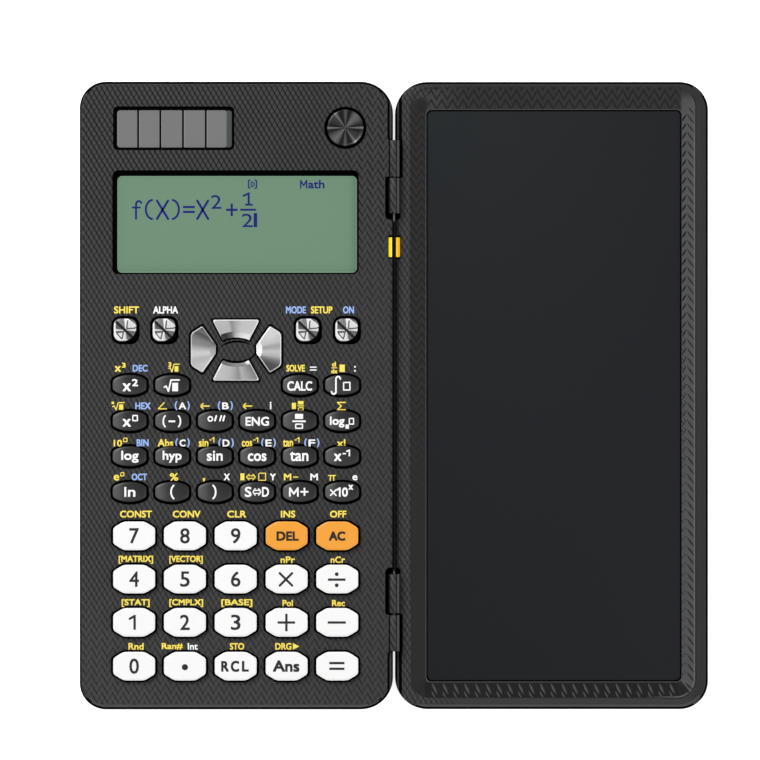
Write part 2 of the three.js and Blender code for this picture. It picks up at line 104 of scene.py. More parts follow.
# ------------------------------------------------------------------ outlines
def rrect(x0, x1, y0, y1, r, seg=10):
    rr = list(r) if isinstance(r, (list, tuple)) else [r] * 4     # +x+y, -x+y, -x-y, +x-y
    corners = [(x1, y1, 0, -1, -1), (x0, y1, 90, 1, -1), (x0, y0, 180, 1, 1), (x1, y0, 270, -1, 1)]
    out = []
    for (cx, cy, a0, sx, sy), R in zip(corners, rr):
        ox, oy = cx + sx * R, cy + sy * R
        for k in range(seg + 1):
            a = math.radians(a0 + 90.0 * k / seg)
            out.append((ox + R * math.cos(a), oy + R * math.sin(a)))
    return out

def area(p):
    return 0.5 * sum(a[0] * b[1] - b[0] * a[1] for a, b in zip(p, p[1:] + p[:1]))

def grow(p, d):
    q = p if area(p) > 0 else p[::-1]
    n, out = len(q), []
    for i in range(n):
        (ax, ay), (x, y), (bx, by) = q[i - 1], q[i], q[(i + 1) % n]
        l1, l2 = math.hypot(x - ax, y - ay) or 1e-9, math.hypot(bx - x, by - y) or 1e-9
        n1, n2 = ((y - ay) / l1, -(x - ax) / l1), ((by - y) / l2, -(bx - x) / l2)
        k = d / max(1 + n1[0] * n2[0] + n1[1] * n2[1], 0.2)
        out.append((x + (n1[0] + n2[0]) * k, y + (n1[1] + n2[1]) * k))
    return out

def rounded(p, r, seg=5):
    """Polygon with every corner replaced by an arc of radius r (or less on short edges)."""
    q = p if area(p) > 0 else p[::-1]
    n, out = len(q), []
    rr = r if isinstance(r, (list, tuple)) else [r] * n
    for i in range(n):
        a, c, b = Vector(q[i - 1]), Vector(q[i]), Vector(q[(i + 1) % n])
        u, v = (a - c), (b - c)
        lu, lv = u.length, v.length
        u, v = u / lu, v / lv
        half = math.acos(max(-1, min(1, u.dot(v)))) / 2
        t = min(rr[i] / math.tan(half), 0.48 * lu, 0.48 * lv)
        R = t * math.tan(half)
        centre = c + (u + v).normalized() * (R / math.sin(half))
        s, e = c + u * t - centre, c + v * t - centre
        a0, a1 = math.atan2(s.y, s.x), math.atan2(e.y, e.x)
        while a1 < a0 - 1e-9: a1 += 2 * math.pi
        if a1 - a0 > math.pi: a0 += 2 * math.pi
        for k in range(seg + 1):
            a_ = a0 + (a1 - a0) * k / seg
            out.append((centre.x + R * math.cos(a_), centre.y + R * math.sin(a_)))
    return out

def barrel(x, y, w, h, seg=9):
    a, b = (w / 2) * 1.13, h / 2
    t0 = math.acos(w / 2 / a)
    ts = [t0 + (math.pi / 2 - t0) * k / seg for k in range(seg)]
    pts = [(x + a * math.cos(t), y + b * math.sin(t)) for t in ts] + [(x, y + b)]
    pts += [(x - a * math.cos(t), y + b * math.sin(t)) for t in ts[::-1]]
    pts += [(x - a * math.cos(t), y - b * math.sin(t)) for t in ts] + [(x, y - b)]
    pts += [(x + a * math.cos(t), y - b * math.sin(t)) for t in ts[::-1]]
    return pts

def octagon(x, y, w, h, fw, fh):
    return [(x + w / 2, y - fh / 2), (x + w / 2, y + fh / 2), (x + fw / 2, y + h / 2), (x - fw / 2, y + h / 2),
            (x - w / 2, y + fh / 2), (x - w / 2, y - fh / 2), (x - fw / 2, y - h / 2), (x + fw / 2, y - h / 2)]

def circle(x, y, r, n=64):
    return [(x + r * math.cos(2 * math.pi * (k + .5) / n), y + r * math.sin(2 * math.pi * (k + .5) / n)) for k in range(n)]

# ------------------------------------------------------------------ mesh helpers
def link(name, me):
    ob = bpy.data.objects.new(name, me)
    bpy.context.scene.collection.objects.link(ob)
    return ob

def shade(ob, angle=32):
    for p in ob.data.polygons: p.use_smooth = True
    ob.data.set_sharp_from_angle(angle=math.radians(angle))

def build(name, verts, faces, mats=(), face_mats=None, angle=32):
    me = bpy.data.meshes.new(name)
    me.from_pydata([(x * MM, y * MM, z * MM) for x, y, z in verts], [], faces)
    me.validate(clean_customdata=False)
    ob = link(name, me)
    for m in mats: me.materials.append(m)
    if face_mats:
        for p, k in zip(me.polygons, face_mats): p.material_index = k
    shade(ob, angle)
    return ob

def loft_data(rings, bottom=True, top=True):
    rs = [((p if area(p) > 0 else p[::-1]), z) for p, z in rings]
    n = len(rs[0][0])
    v = [(x, y, z) for p, z in rs for x, y in p]
    f = []
    for k in range(len(rs) - 1):
        for i in range(n):
            a, b = k * n + i, k * n + (i + 1) % n
            f.append((a, b, b + n, a + n))
    if bottom: f.append(tuple(reversed(range(n))))
    if top: f.append(tuple(range((len(rs) - 1) * n, len(rs) * n)))
    return v, f

def loft(name, rings, mats=(), bottom=True, top=True, angle=32, side_mat=0, top_mat=0):
    v, f = loft_data(rings, bottom, top)
    return build(name, v, f, mats, None, angle)

def merged(parts):
    v, f = [], []
    for pv, pf in parts:
        o = len(v)
        v += pv
        f += [tuple(i + o for i in q) for q in pf]
    return v, f

def along_y(section, y0, y1):
    """Closed bar along Y from an XZ section (either direction)."""
    sec = section if area(section) > 0 else section[::-1]
    n = len(sec)
    v = [(x, y0, z) for x, z in sec] + [(x, y1, z) for x, z in sec]
    f = [(i, i + n, (i + 1) % n + n, (i + 1) % n) for i in range(n)]
    f += [tuple(range(n)), tuple(reversed(range(n, 2 * n)))]
    return v, f

def boxd(x0, x1, y0, y1, z0, z1):
    return loft_data([([(x0, y0), (x1, y0), (x1, y1), (x0, y1)], z0), ([(x0, y0), (x1, y0), (x1, y1), (x0, y1)], z1)])

def ringz(r, n=40):
    return [(r * math.cos(2 * math.pi * (k + .5) / n), AXIS_Z + r * math.sin(2 * math.pi * (k + .5) / n)) for k in range(n)]

def boolean(ob, parts, op="DIFFERENCE", solver="EXACT", self_hit=False):
    v, f = merged(parts)
    me = bpy.data.meshes.new("tool")
    me.from_pydata([(x * MM, y * MM, z * MM) for x, y, z in v], [], f)
    bm = bmesh.new(); bm.from_mesh(me)
    bmesh.ops.recalc_face_normals(bm, faces=bm.faces)
    bm.to_mesh(me); bm.free()
    tool = link("tool", me)
    m = ob.modifiers.new("b", "BOOLEAN")
    m.operation, m.object, m.solver = op, tool, solver
    if solver == "EXACT": m.use_self = self_hit
    bpy.context.view_layer.update()
    dg = bpy.context.evaluated_depsgraph_get()
    new = bpy.data.meshes.new_from_object(ob.evaluated_get(dg))
    ob.modifiers.clear()
    old = ob.data
    ob.data = new
    bpy.data.meshes.remove(old)
    bpy.data.objects.remove(tool)
    bpy.data.meshes.remove(me)

def convex(planes, inset=0.0, p=26.0, n=144):
    """Rounded convex outline about the origin from half planes [(nx, ny, d)], moved in by inset."""
    out = []
    for k in range(n):
        t = 2 * math.pi * (k + 0.5) / n
        ux, uy = math.cos(t), math.sin(t)
        acc = 0.0
        for nx, ny, d in planes:
            c = nx * ux + ny * uy
            if c > 1e-6: acc += (c / (d - inset)) ** p
        r = acc ** (-1.0 / p)
        out.append((r * ux, r * uy))
    return out

def barrel_outline(w, h, n=144, p=26.0):
    """Ellipse 1.13 times wider than w, cut by straight sides, corners eased."""
    out = []
    for k in range(n):
        t = 2 * math.pi * (k + 0.5) / n
        ux, uy = math.cos(t), math.sin(t)
        r1 = 1.0 / math.sqrt((ux / (w / 2 * 1.13)) ** 2 + (uy / (h / 2)) ** 2)
        r2 = (w / 2) / max(abs(ux), 1e-6)
        r = ((1 / r1) ** p + (1 / r2) ** p) ** (-1.0 / p)
        out.append((r * ux, r * uy))
    return out

def octo_planes(w, h, fw, fh):
    ax, ay, bx, by = w / 2, fh / 2, fw / 2, h / 2
    nx, ny = (by - ay), (ax - bx)
    L = math.hypot(nx, ny); nx, ny = nx / L, ny / L
    d = ax * nx + ay * ny
    return [(1, 0, ax), (-1, 0, ax), (0, 1, by), (0, -1, by), (nx, ny, d), (-nx, ny, d), (-nx, -ny, d), (nx, -ny, d)]

def cap(name, at, lower, outline, profile, top, mats, surface=None, steps=7, angle=38, edge_bands=0, line_bands=()):
    """lower: [(ring, z)] for flange and walls; profile: [(inset, drop)] of outline(inset); then a filled top.
    The flange and the wall inside the housing take the dark material, painted shade in the gap round the key; the
    first edge_bands of the profile take material 2, painted shade on the bevel."""
    surface = surface or (lambda x, y: 0.0)
    lower = list(lower) + [(lower[-1][0], 9.25)]
    n_dark = len(lower) - 1
    rings = [[(x, y, z) for x, y in p] for p, z in lower]
    for inset, drop in profile:
        rings.append([(x, y, top - drop - surface(x, y)) for x, y in outline(inset)])
    last = outline(profile[-1][0])
    drop = profile[-1][1]
    for k in range(1, steps):
        f = 1 - k / steps
        rings.append([(x * f, y * f, top - drop - surface(x * f, y * f)) for x, y in last])
    n = len(rings[0])
    v = [q for r in rings for q in r]
    f = []
    for k in range(len(rings) - 1):
        for i in range(n):
            a, b = k * n + i, k * n + (i + 1) % n
            f.append((a, b, b + n, a + n))
    f.append(tuple(reversed(range(n))))
    v.append((0.0, 0.0, top - drop - surface(0, 0)))
    c, o = len(v) - 1, (len(rings) - 1) * n
    f += [(o + i, o + (i + 1) % n, c) for i in range(n)]
    mats = list(mats) + [MATS["black"]] * (2 - len(mats)) if len(mats) < 2 else list(mats)
    kinds = []
    for k in range(len(rings) - 1):
        if k < n_dark: kinds += [1] * n
        elif k < n_dark + 1 + edge_bands and edge_bands: kinds += [2] * n
        elif (k - n_dark - 1) in line_bands: kinds += [len(mats) - 1] * n
        else: kinds += [0] * n
    kinds += [1] + [0] * n
    ob = build(name, v, f, mats, None, angle)
    for q, kk in zip(ob.data.polygons, kinds): q.material_index = kk
    ob.location = (at[0] * MM, at[1] * MM, 0)
    return ob

# ------------------------------------------------------------------ node arithmetic
class E:
    def __init__(self, tree, sock): self.t, self.s = tree, sock
    def op(self, name, *others, clamp=False):
        n = self.t.nodes.new("ShaderNodeMath"); n.operation = name; n.use_clamp = clamp
        for i, a in enumerate((self,) + others):
            if isinstance(a, E): self.t.links.new(a.s, n.inputs[i])
            else: n.inputs[i].default_value = a
        return E(self.t, n.outputs[0])
    def __add__(self, o): return self.op("ADD", o)
    __radd__ = __add__
    def __sub__(self, o): return self.op("SUBTRACT", o)
    def __rsub__(self, o): return (self * -1) + o
    def __mul__(self, o): return self.op("MULTIPLY", o)
    __rmul__ = __mul__
    def __truediv__(self, o): return self.op("DIVIDE", o)
    def abs(self): return self.op("ABSOLUTE")
    def frac(self): return self.op("FRACT")
    def max(self, o): return self.op("MAXIMUM", o)
    def min(self, o): return self.op("MINIMUM", o)
    def sat(self): return self.op("ADD", 0.0, clamp=True)
    def atan2(self, o): return self.op("ARCTAN2", o)
    def sqrt(self): return self.op("SQRT")
    def step(self, lo, hi):
        n = self.t.nodes.new("ShaderNodeMapRange"); n.interpolation_type = "SMOOTHSTEP"; n.clamp = True
        self.t.links.new(self.s, n.inputs["Value"])
        flip = hi < lo
        n.inputs["From Min"].default_value, n.inputs["From Max"].default_value = (hi, lo) if flip else (lo, hi)
        n.inputs["To Min"].default_value, n.inputs["To Max"].default_value = (1, 0) if flip else (0, 1)
        return E(self.t, n.outputs["Result"])
    def mix(self, a, b):
        """a where self is 0, b where it is 1 (numbers or E)."""
        n = self.t.nodes.new("ShaderNodeMix"); n.data_type = "FLOAT"
        self.t.links.new(self.s, n.inputs[0])
        for i, v in ((2, a), (3, b)):
            if isinstance(v, E): self.t.links.new(v.s, n.inputs[i])
            else: n.inputs[i].default_value = v
        return E(self.t, n.outputs[0])
    def colour(self, a, b):
        n = self.t.nodes.new("ShaderNodeMix"); n.data_type = "RGBA"
        self.t.links.new(self.s, n.inputs[0])
        for i, v in ((6, a), (7, b)):
            if isinstance(v, E): self.t.links.new(v.s, n.inputs[i])
            else: n.inputs[i].default_value = (*v, 1)
        return E(self.t, n.outputs[2])
    def ramp(self, stops, mode="LINEAR"):
        n = self.t.nodes.new("ShaderNodeValToRGB"); n.color_ramp.interpolation = mode
        els = n.color_ramp.elements
        while len(els) > 1: els.remove(els[-1])
        els[0].position = stops[0][0]; els[0].color = (*stops[0][1], 1)
        for pos, col in stops[1:]:
            e = els.new(pos); e.color = (*col, 1)
        self.t.links.new(self.s, n.inputs[0])
        return E(self.t, n.outputs[0])

def lin(*c):
    """sRGB 0-255 to linear."""
    f = lambda u: u / 12.92 if u <= 0.04045 else ((u + 0.055) / 1.055) ** 2.4
    return tuple(f(v / 255) for v in c)

def grey(v): return lin(v, v, v)

class Mat:
    def __init__(self, name, rough=0.5, metal=0.0, spec=0.5, coat=0.0, coat_rough=0.1):
        self.m = bpy.data.materials.new(name); self.m.use_nodes = True
        self.t = self.m.node_tree
        self.b = next(n for n in self.t.nodes if n.type == "BSDF_PRINCIPLED")
        self.b.inputs["Roughness"].default_value = rough
        self.b.inputs["Metallic"].default_value = metal
        self.b.inputs["Specular IOR Level"].default_value = spec
        self.b.inputs["Coat Weight"].default_value = coat
        self.b.inputs["Coat Roughness"].default_value = coat_rough
        tc = self.t.nodes.new("ShaderNodeTexCoord")
        self.vec = tc.outputs["Object"]
        sep = self.t.nodes.new("ShaderNodeSeparateXYZ")
        self.t.links.new(self.vec, sep.inputs[0])
        self.x, self.y, self.z = (E(self.t, o) * 1000.0 for o in sep.outputs)      # millimetres
    def noise(self, scale, detail=3.0, rough=0.55, stretch=None):
        n = self.t.nodes.new("ShaderNodeTexNoise")
        n.inputs["Scale"].default_value = scale
        n.inputs["Detail"].default_value = detail
        n.inputs["Roughness"].default_value = rough
        if stretch:
            mp = self.t.nodes.new("ShaderNodeMapping"); mp.inputs["Scale"].default_value = stretch
            self.t.links.new(self.vec, mp.inputs[0]); self.t.links.new(mp.outputs[0], n.inputs["Vector"])
        else:
            self.t.links.new(self.vec, n.inputs["Vector"])
        return E(self.t, n.outputs["Fac"])
    def colour(self, e): self.t.links.new(e.s, self.b.inputs["Base Color"]); return self
    def rough(self, e): self.t.links.new(e.s, self.b.inputs["Roughness"]); return self
    def bump(self, e, distance=0.05, strength=1.0):
        n = self.t.nodes.new("ShaderNodeBump")
        n.inputs["Distance"].default_value = distance * MM
        n.inputs["Strength"].default_value = strength
        self.t.links.new(e.s, n.inputs["Height"])
        self.t.links.new(n.outputs[0], self.b.inputs["Normal"])
        return self

# lines of a lattice: 1 on the line, 0 away from it; u has period 1
def line(u, width=0.16, soft=0.14):
    d = ((u.frac() - 0.5).abs() * -1.0) + 0.5           # 0 on the line, 0.5 midway
    return d.step(width + soft, width)

def weave(m, bend=1.0):
    """Moulded grain: a diamond lattice that turns into a herringbone."""
    px, py = 1.412, 2.40
    u1 = m.x * (1 / px) + m.y * (1 / py)
    u2 = m.x * (1 / px) - m.y * (1 / py)
    col = ((m.x * (1 / (2 * px))).frac() - 0.5).step(-0.05, 0.05)
    right = m.x.step(PX(300), PX(372))
    low = m.y.step(PY(560), PY(640))
    h = right.max(low) * bend
    w1 = (h * (col * -1 + 1)) * -0.62 + 1
    w2 = (h * 0.08 + 0.80) * ((h * col) * -0.62 + 1)
    a = line(u1, 0.07, 0.17) * w1
    b = line(u2, 0.05, 0.17) * w2
    return (a + b * 0.85).min(1.25), h

def rbox(m, x0, x1, y0, y1, r):
    """Distance outside a rounded box (negative inside)."""
    qx = ((m.x - (x0 + x1) / 2).abs() - ((x1 - x0) / 2 - r)).max(0.0)
    qy = ((m.y - (y0 + y1) / 2).abs() - ((y1 - y0) / 2 - r)).max(0.0)
    return (qx * qx + qy * qy).sqrt() - r

MATS = {}

def make_materials():
    # ---- calculator front
    m = Mat("housing_grain", rough=0.5, spec=0.22)
    ln, h = weave(m)
    strong = ((m.y.step(PY(330), PY(150)) * 0.28) + 0.72)
    fine = m.noise(900, 2)
    cell = m.x.step(PX(200), PX(370)).colour(m.noise(120, 3).colour(grey(57), grey(66)), m.noise(120, 3).colour(grey(52), grey(61)))
    dark = m.noise(200, 2).colour(grey(14), grey(22))
    m.colour((ln * strong).sat().colour(cell, dark))
    m.rough(ln.sat().mix(0.5, 0.75))
    m.bump((ln * -1 + 1) * strong + fine * 0.08, 0.08, 0.6)
    MATS["grain"] = m.m
    # ---- plain moulded side / back
    m = Mat("housing_plain", rough=0.55, spec=0.35)
    n = m.noise(1800, 3)
    m.colour(m.noise(90, 3).colour(grey(40), grey(47))).rough(n.mix(0.48, 0.62)).bump(n, 0.03, 0.35)
    MATS["plain"] = m.m
    # ---- very dark colour painted into gaps, hole walls and recesses as shade
    m = Mat("painted_gap_shade", rough=0.9, spec=0.0)
    m.colour(m.noise(300, 2).colour(grey(6), grey(11))).bump(m.noise(900, 2), 0.02, 0.3)
    MATS["black"] = m.m
    # ---- painted shade on rounded edges, key bevels and hinge walls, and a fine painted highlight line just inside the edge
    m = Mat("edge_painted_shade", rough=0.8, spec=0.0)
    m.colour(m.noise(300, 2).colour(grey(7), grey(13))).bump(m.noise(1200, 2), 0.01, 0.2)
    MATS["edge"] = m.m
    m = Mat("edge_painted_highlight", rough=0.6, spec=0.05)
    m.colour(m.noise(300, 2).colour(grey(72), grey(80))).bump(m.noise(1200, 2), 0.01, 0.2)
    MATS["line"] = m.m
    # the same moulded ribs in two tones: dark as painted shade on the right band, light as painted highlight on the
    # bottom band
    for key, v0, v1 in (("rib_dark", 14, 22), ("rib_light", 56, 68)):
        m = Mat(key, rough=0.45, spec=0.25)
        m.colour(m.noise(400, 2).colour(grey(v0), grey(v1))).bump(m.noise(1500, 2), 0.01, 0.2)
        MATS[key] = m.m
    # ---- knuckle: grain on one side, a groove painted dark as shade, then a smooth strip painted light as a highlight, and painted dark shade at both outer sides
    m = Mat("knuckle_grain_and_painted_light", rough=0.5, spec=0.25)
    st = line(m.x * (1 / 1.412) + m.y * (1 / 2.4), 0.12, 0.2) * m.x.step(0.75, 0.55)
    groove = m.x.step(0.42, 0.6) * m.x.step(0.98, 0.82)
    strip = m.x.step(0.85, 0.98) * m.x.step(1.40, 1.28)
    left = m.x.step(-1.02, -1.16).max(m.x.step(1.42, 1.48))
    d = (st * 0.75).max(groove).max(left)
    m.colour((strip * 0.85).colour(E(m.t, d.colour(grey(62), grey(14)).s), grey(96))).bump((d * -1) + strip * 0.3, 0.06, 0.6)
    MATS["knuckle"] = m.m
    # ---- tablet shell
    m = Mat("tablet_grain_and_painted_light", rough=0.5, spec=0.2)
    x, y = m.x, m.y
    ln, h = weave(m, 0.3)
    tri = lambda u: ((u.frac() - 0.5).abs() * 2.0)                 # 1 at 0, 0 at 0.5
    # rim: lattice near the hinge side, smooth towards the outside
    rim = x.step(PX(560), PX(430)).max(x.step(PX(409.5), PX(408.5))) * y.step(PY(700), PY(620)).max(x.step(PX(470), PX(430)))
    base = ln.sat() * rim
    sd = rbox(m, *SLOPE, 5.0)
    inside = sd.step(0.06, -0.06)
    # the far hinge-side corner: the band starts behind an S-shaped crease
    off = lambda cx, cy: ((x - PX(cx)) * (x - PX(cx)) + (y - PY(cy)) * (y - PY(cy))).sqrt()
    ra, rb = off(421.0, 109.0), off(418.0, 86.0)
    hither = x.step(PX(421.2), PX(420.8))
    beyond = hither * -1 + 1
    far_left = x.step(PX(434), PX(432)) * y.step(PY(109.3), PY(108.7))
    swirl = ra.step(2.87, 2.77) * hither + rb.step(3.36, 3.46) * beyond
    ring = lambda r, r0: r.step(r0 - 0.16, r0 - 0.05) * r.step(r0 + 0.16, r0 + 0.05)
    # painted dark shade line along the S-shaped crease
    swirl_line = far_left * inside * (ring(ra, 2.82) * hither + ring(rb, 3.41) * beyond)
    inside = inside * (far_left * (swirl * -1 + 1) * -1 + 1)
    base = base * (inside * -1 + 1)
    # top band: two rows of large zigzags
    zig = line((y + tri(x * (1 / 2.83)) * 2.5) * (1 / 2.55) + 0.12, 0.10, 0.17)
    topz = y.step(PY(110), PY(108)) * y.step(PY(85), PY(88)) * x.step(PX(427.5), PX(430.5)) * x.step(PX(684), PX(676))
    # left band: herringbone fading out towards the bottom
    her = line((y + tri((x - PX(416.4)) * (1 / 2.83)) * 2.4) * (1 / 2.4), 0.10, 0.18)
    left = inside * x.step(PX(426.0), PX(425.2)) * y.step(PY(580), PY(330)) * y.step(PY(102), PY(116))
    dark = (base * 0.85).max(zig * topz * 0.9).max(her * left * 0.8)
    # tones: painted light and shade on the sunken band, painted shade at the left and the bottom, a painted lighter
    # tone at the right
    leftband = inside * x.step(PX(426.6), PX(425.6)) * y.step(PY(92), PY(108))
    below = (y * -1.0 - 75.9).max(0.0)
    right = inside * ((x - 76.3) - below * 0.8).step(-0.2, 0.5) * y.step(PY(90), PY(102))
    bottom = inside * y.step(PY(680.5), PY(683)) * x.step(PX(423), PX(427)) * (right * -1 + 1)
    # painted shade in the far hinge-side corner
    corner = inside * off(421.5, 104.0).step(2.9, 1.0)
    # painted highlight line along the slope's outer boundary on the right and near sides, and painted dark shade lines
    # along the creases
    near_side = x.step(PX(690), PX(693)).max(y.step(PY(690), PY(694)) * x.step(PX(640), PX(688)))
    shine = sd.step(-0.48, -0.36) * sd.step(-0.02, -0.12) * near_side * y.step(PY(110), PY(150))
    crease = sd.step(-0.04, 0.04) * sd.step(0.36, 0.24) * near_side
    crease2 = sd.step(-0.3, -0.1) * sd.step(0.2, 0.06) * x.step(PX(450), PX(436)) * y.step(PY(640), PY(560))
    near = x.step(PX(470), PX(420)).max(y.step(PY(697), PY(700)) * 0.45)
    tone = near.colour(m.noise(110, 3).colour(grey(40), grey(47)), m.noise(110, 3).colour(grey(58), grey(65)))
    tone = (leftband * 0.9).colour(tone, y.step(PY(330), PY(600)).colour(grey(33), grey(25)))
    tone = (corner * 0.8).colour(tone, grey(24))
    tone = (bottom * 0.97).colour(tone, grey(9))
    tone = (right * 0.95).colour(tone, grey(75))
    tone = (dark * 0.9).colour(tone, grey(18))
    tone = (crease.max(crease2 * 0.75).max(swirl_line * 0.9) * 0.85).colour(tone, grey(18))
    tone = (shine * 0.9).colour(tone, grey(92))
    m.colour(tone).rough(dark.mix(0.5, 0.7))
    m.bump((dark * -1 + 1) + m.noise(900, 2) * 0.06, 0.08, 0.6)
    MATS["tablet"] = m.m
    # ---- writing panel
    m = Mat("writing_film", rough=0.5, spec=0.08)
    d = m.y.step(PY(330), PY(110)) * m.x.step(PX(560), PX(430))
    w = m.noise(14, 2)
    m.colour((d * 0.8 + w * 0.2).colour(lin(32.5, 33.5, 36.5), lin(29.5, 34, 36))).rough(m.noise(500, 2).mix(0.46, 0.56)).bump(m.noise(4000, 1), 0.01, 0.12)
    MATS["film"] = m.m
    # ---- function keys
    m = Mat("function_key", rough=0.36, spec=0.3)
    # painted light: the face is lighter towards the left and bottom, with a painted highlight over its left part
    side = ((m.x * -1.0 - m.y * 1.4) * (1 / 9.0) + 0.5).sat()
    tone = (side * 0.8 + m.noise(260, 2) * 0.2).colour(grey(33), grey(60))
    m.colour((m.x.step(-0.6, -4.0) * 0.8).colour(tone, grey(92))).rough(m.noise(900, 2).mix(0.28, 0.38)).bump(m.noise(2500, 2), 0.01, 0.2)
    MATS["fn"] = m.m
    # ---- number keys
    m = Mat("number_key", rough=0.42, spec=0.5)
    m.colour(m.noise(160, 2).colour(lin(243, 243, 243), lin(248, 248, 247))).rough(m.noise(900, 2).mix(0.38, 0.48)).bump(m.noise(2500, 2), 0.01, 0.2)
    MATS["num"] = m.m
    m = Mat("orange_key", rough=0.42, spec=0.35)
    m.colour(m.noise(160, 2).colour(lin(240, 156, 46), lin(245, 167, 62))).rough(m.noise(900, 2).mix(0.38, 0.48)).bump(m.noise(2500, 2), 0.01, 0.2)
    MATS["orange"] = m.m
    # ---- plated keys: painted reflections as light and dark sectors around each key's own centre, painted highlights along the left and bottom edges and towards the upper right, painted shade at the upper-right edge
    g = lambda v: grey(v)
    m = Mat("plated_key", rough=0.32, metal=0.25, spec=0.4)
    ang = (m.y.atan2(m.x)) * (1 / (2 * math.pi))
    ang = (ang + 1.0).frac()                                      # 0 at +x, counter-clockwise
    deg = lambda d: d / 360.0
    sect = ang.ramp([(0.0, g(240)), (deg(7), g(226)), (deg(10), g(178)), (deg(60), g(205)), (deg(74), g(196)), (deg(77), g(250)), (deg(93), g(246)), (deg(98), g(150)),
                     (deg(106), g(122)), (deg(128), g(146)), (deg(136), g(100)), (deg(160), g(92)), (deg(172), g(106)), (deg(176), g(220)), (deg(185), g(236)), (deg(190), g(246)),
                     (deg(250), g(250)), (deg(268), g(225)), (deg(276), g(205)), (deg(281), g(120)), (deg(300), g(98)), (deg(330), g(118)), (deg(343), g(92)), (deg(352), g(128)), (deg(356), g(225)), (1.0, g(240))])
    far = m.x.step(-2.4, -2.75).max(m.y.step(-2.3, -2.6) * m.x.step(0.9, 0.2))
    beyond = m.x * 0.63 + m.y * 0.777
    col = (beyond.step(2.5, 2.64)).colour(far.colour(sect, grey(252)), grey(250))
    col = (beyond.step(2.80, 2.88)).colour(col, (m.x.atan2(m.y)).step(0.3, 1.1).colour(grey(84), grey(150)))
    m.colour(col).rough(m.noise(1500, 2).mix(0.28, 0.38))
    m.bump(m.noise(3000, 2), 0.01, 0.2)
    MATS["gem"] = m.m
    # painted reflections on the cut facets: a light copy for their faces, a dark copy for their frames, and a dark
    # slit painted as shade
    for key, v0, v1 in (("facet_light", 216, 238), ("facet_dark", 84, 104), ("slit", 24, 30)):
        m = Mat(key, rough=0.35, metal=0.2, spec=0.35)
        m.colour(m.noise(900, 2).colour(grey(v0), grey(v1))).bump(m.noise(3000, 2), 0.01, 0.2)
        MATS[key] = m.m
    # ---- navigation lobes: painted reflections as grey ramps by angle around the pad's centre
    def lobes(name, stops, rough=0.3):
        m = Mat(name, rough=rough, metal=0.25, spec=0.4)
        a = ((m.y - 0.28 * -1).atan2(m.x)) * (1 / (2 * math.pi))
        a = (a + 1.0).frac()
        m.colour(a.ramp([(deg(d), g(v)) for d, v in stops])).rough(m.noise(1500, 2).mix(0.26, 0.36))
        m.bump(m.noise(3000, 2), 0.01, 0.15)
        return m.m
    MATS["pad"] = lobes("pad_painted_reflections", [(0, 205), (4, 180), (8, 166), (14, 202), (24, 214), (78, 200), (92, 170), (99, 146), (106, 186), (128, 186),
                                       (145, 84), (150, 112), (154, 76), (163, 130), (170, 140), (180, 206), (184, 214), (191, 188), (202, 206), (250, 190), (266, 172),
                                       (276, 148), (285, 184), (320, 104), (331, 74), (341, 82), (348, 128), (353, 186), (357, 196), (360, 205)])
    MATS["pad_bevel"] = lobes("pad_bevel_painted_reflections", [(0, 252), (60, 252), (78, 232), (92, 196), (104, 110), (124, 44), (150, 70), (166, 110), (172, 150), (180, 176), (192, 186), (205, 110), (236, 118), (270, 132), (305, 118), (332, 250), (360, 252)])
    MATS["pad_rim"] = lobes("pad_rim_painted_reflections", [(0, 252), (90, 244), (125, 240), (150, 176), (180, 236), (270, 240), (330, 216), (360, 252)])
    # ---- erase button: dark spun metal; the light and dark sectors around its centre are a painted sheen, the spun rings are bump only
    m = Mat("spun_button_painted_sheen", rough=0.32, metal=0.3, spec=0.4)
    ang = (m.y.atan2(m.x) * (1 / math.pi) + 1.0).frac()
    sect = ang.ramp([(0.0, g(128)), (0.018, g(86)), (0.04, g(20)), (0.07, g(24)), (0.11, g(52)), (0.18, g(84)), (0.27, g(104)), (0.34, g(84)), (0.385, g(26)), (0.44, g(18)), (0.485, g(78)), (0.50, g(92)),
                     (0.515, g(66)), (0.56, g(20)), (0.64, g(22)), (0.685, g(96)), (0.71, g(112)), (0.735, g(58)), (0.80, g(54)), (0.88, g(44)), (0.93, g(18)), (0.975, g(30)), (1.0, g(128))])
    rad = ((m.x * m.x) + (m.y * m.y)).sqrt()
    ringy = (rad * 9.0).frac().step(0.2, 0.8)
    m.colour(sect).rough(m.noise(1500, 2).mix(0.24, 0.34))
    m.bump(ringy + m.noise(3000, 2) * 0.5, 0.006, 0.2)
    MATS["erase"] = m.m
    m = Mat("bright_rim", rough=0.22, metal=0.9)
    m.colour(m.noise(700, 2).colour(grey(150), grey(190))).bump(m.noise(3000, 2), 0.01, 0.2)
    MATS["rim"] = m.m
    # ---- display
    m = Mat("display_green", rough=0.35, spec=0.3)
    edge = ((m.x - PX(237)).abs() * -1 + PX(356.9) - PX(237)).min((m.y - PY(223.9)).abs() * -1 + (PY(175.6) - PY(272)) / 2)
    m.colour(edge.step(0.5, 0.0).colour(m.noise(40, 2).colour(lin(105, 138, 111), lin(108, 139, 117)), lin(128, 162, 135)))
    m.bump(m.noise(3000, 1), 0.005, 0.1)
    MATS["lcd"] = m.m
    m = Mat("display_segment", rough=0.4, spec=0.2)
    m.colour(m.noise(300, 2).colour(lin(16, 22, 108), lin(26, 34, 120))).bump(m.noise(2000, 1), 0.005, 0.1)
    MATS["segment"] = m.m
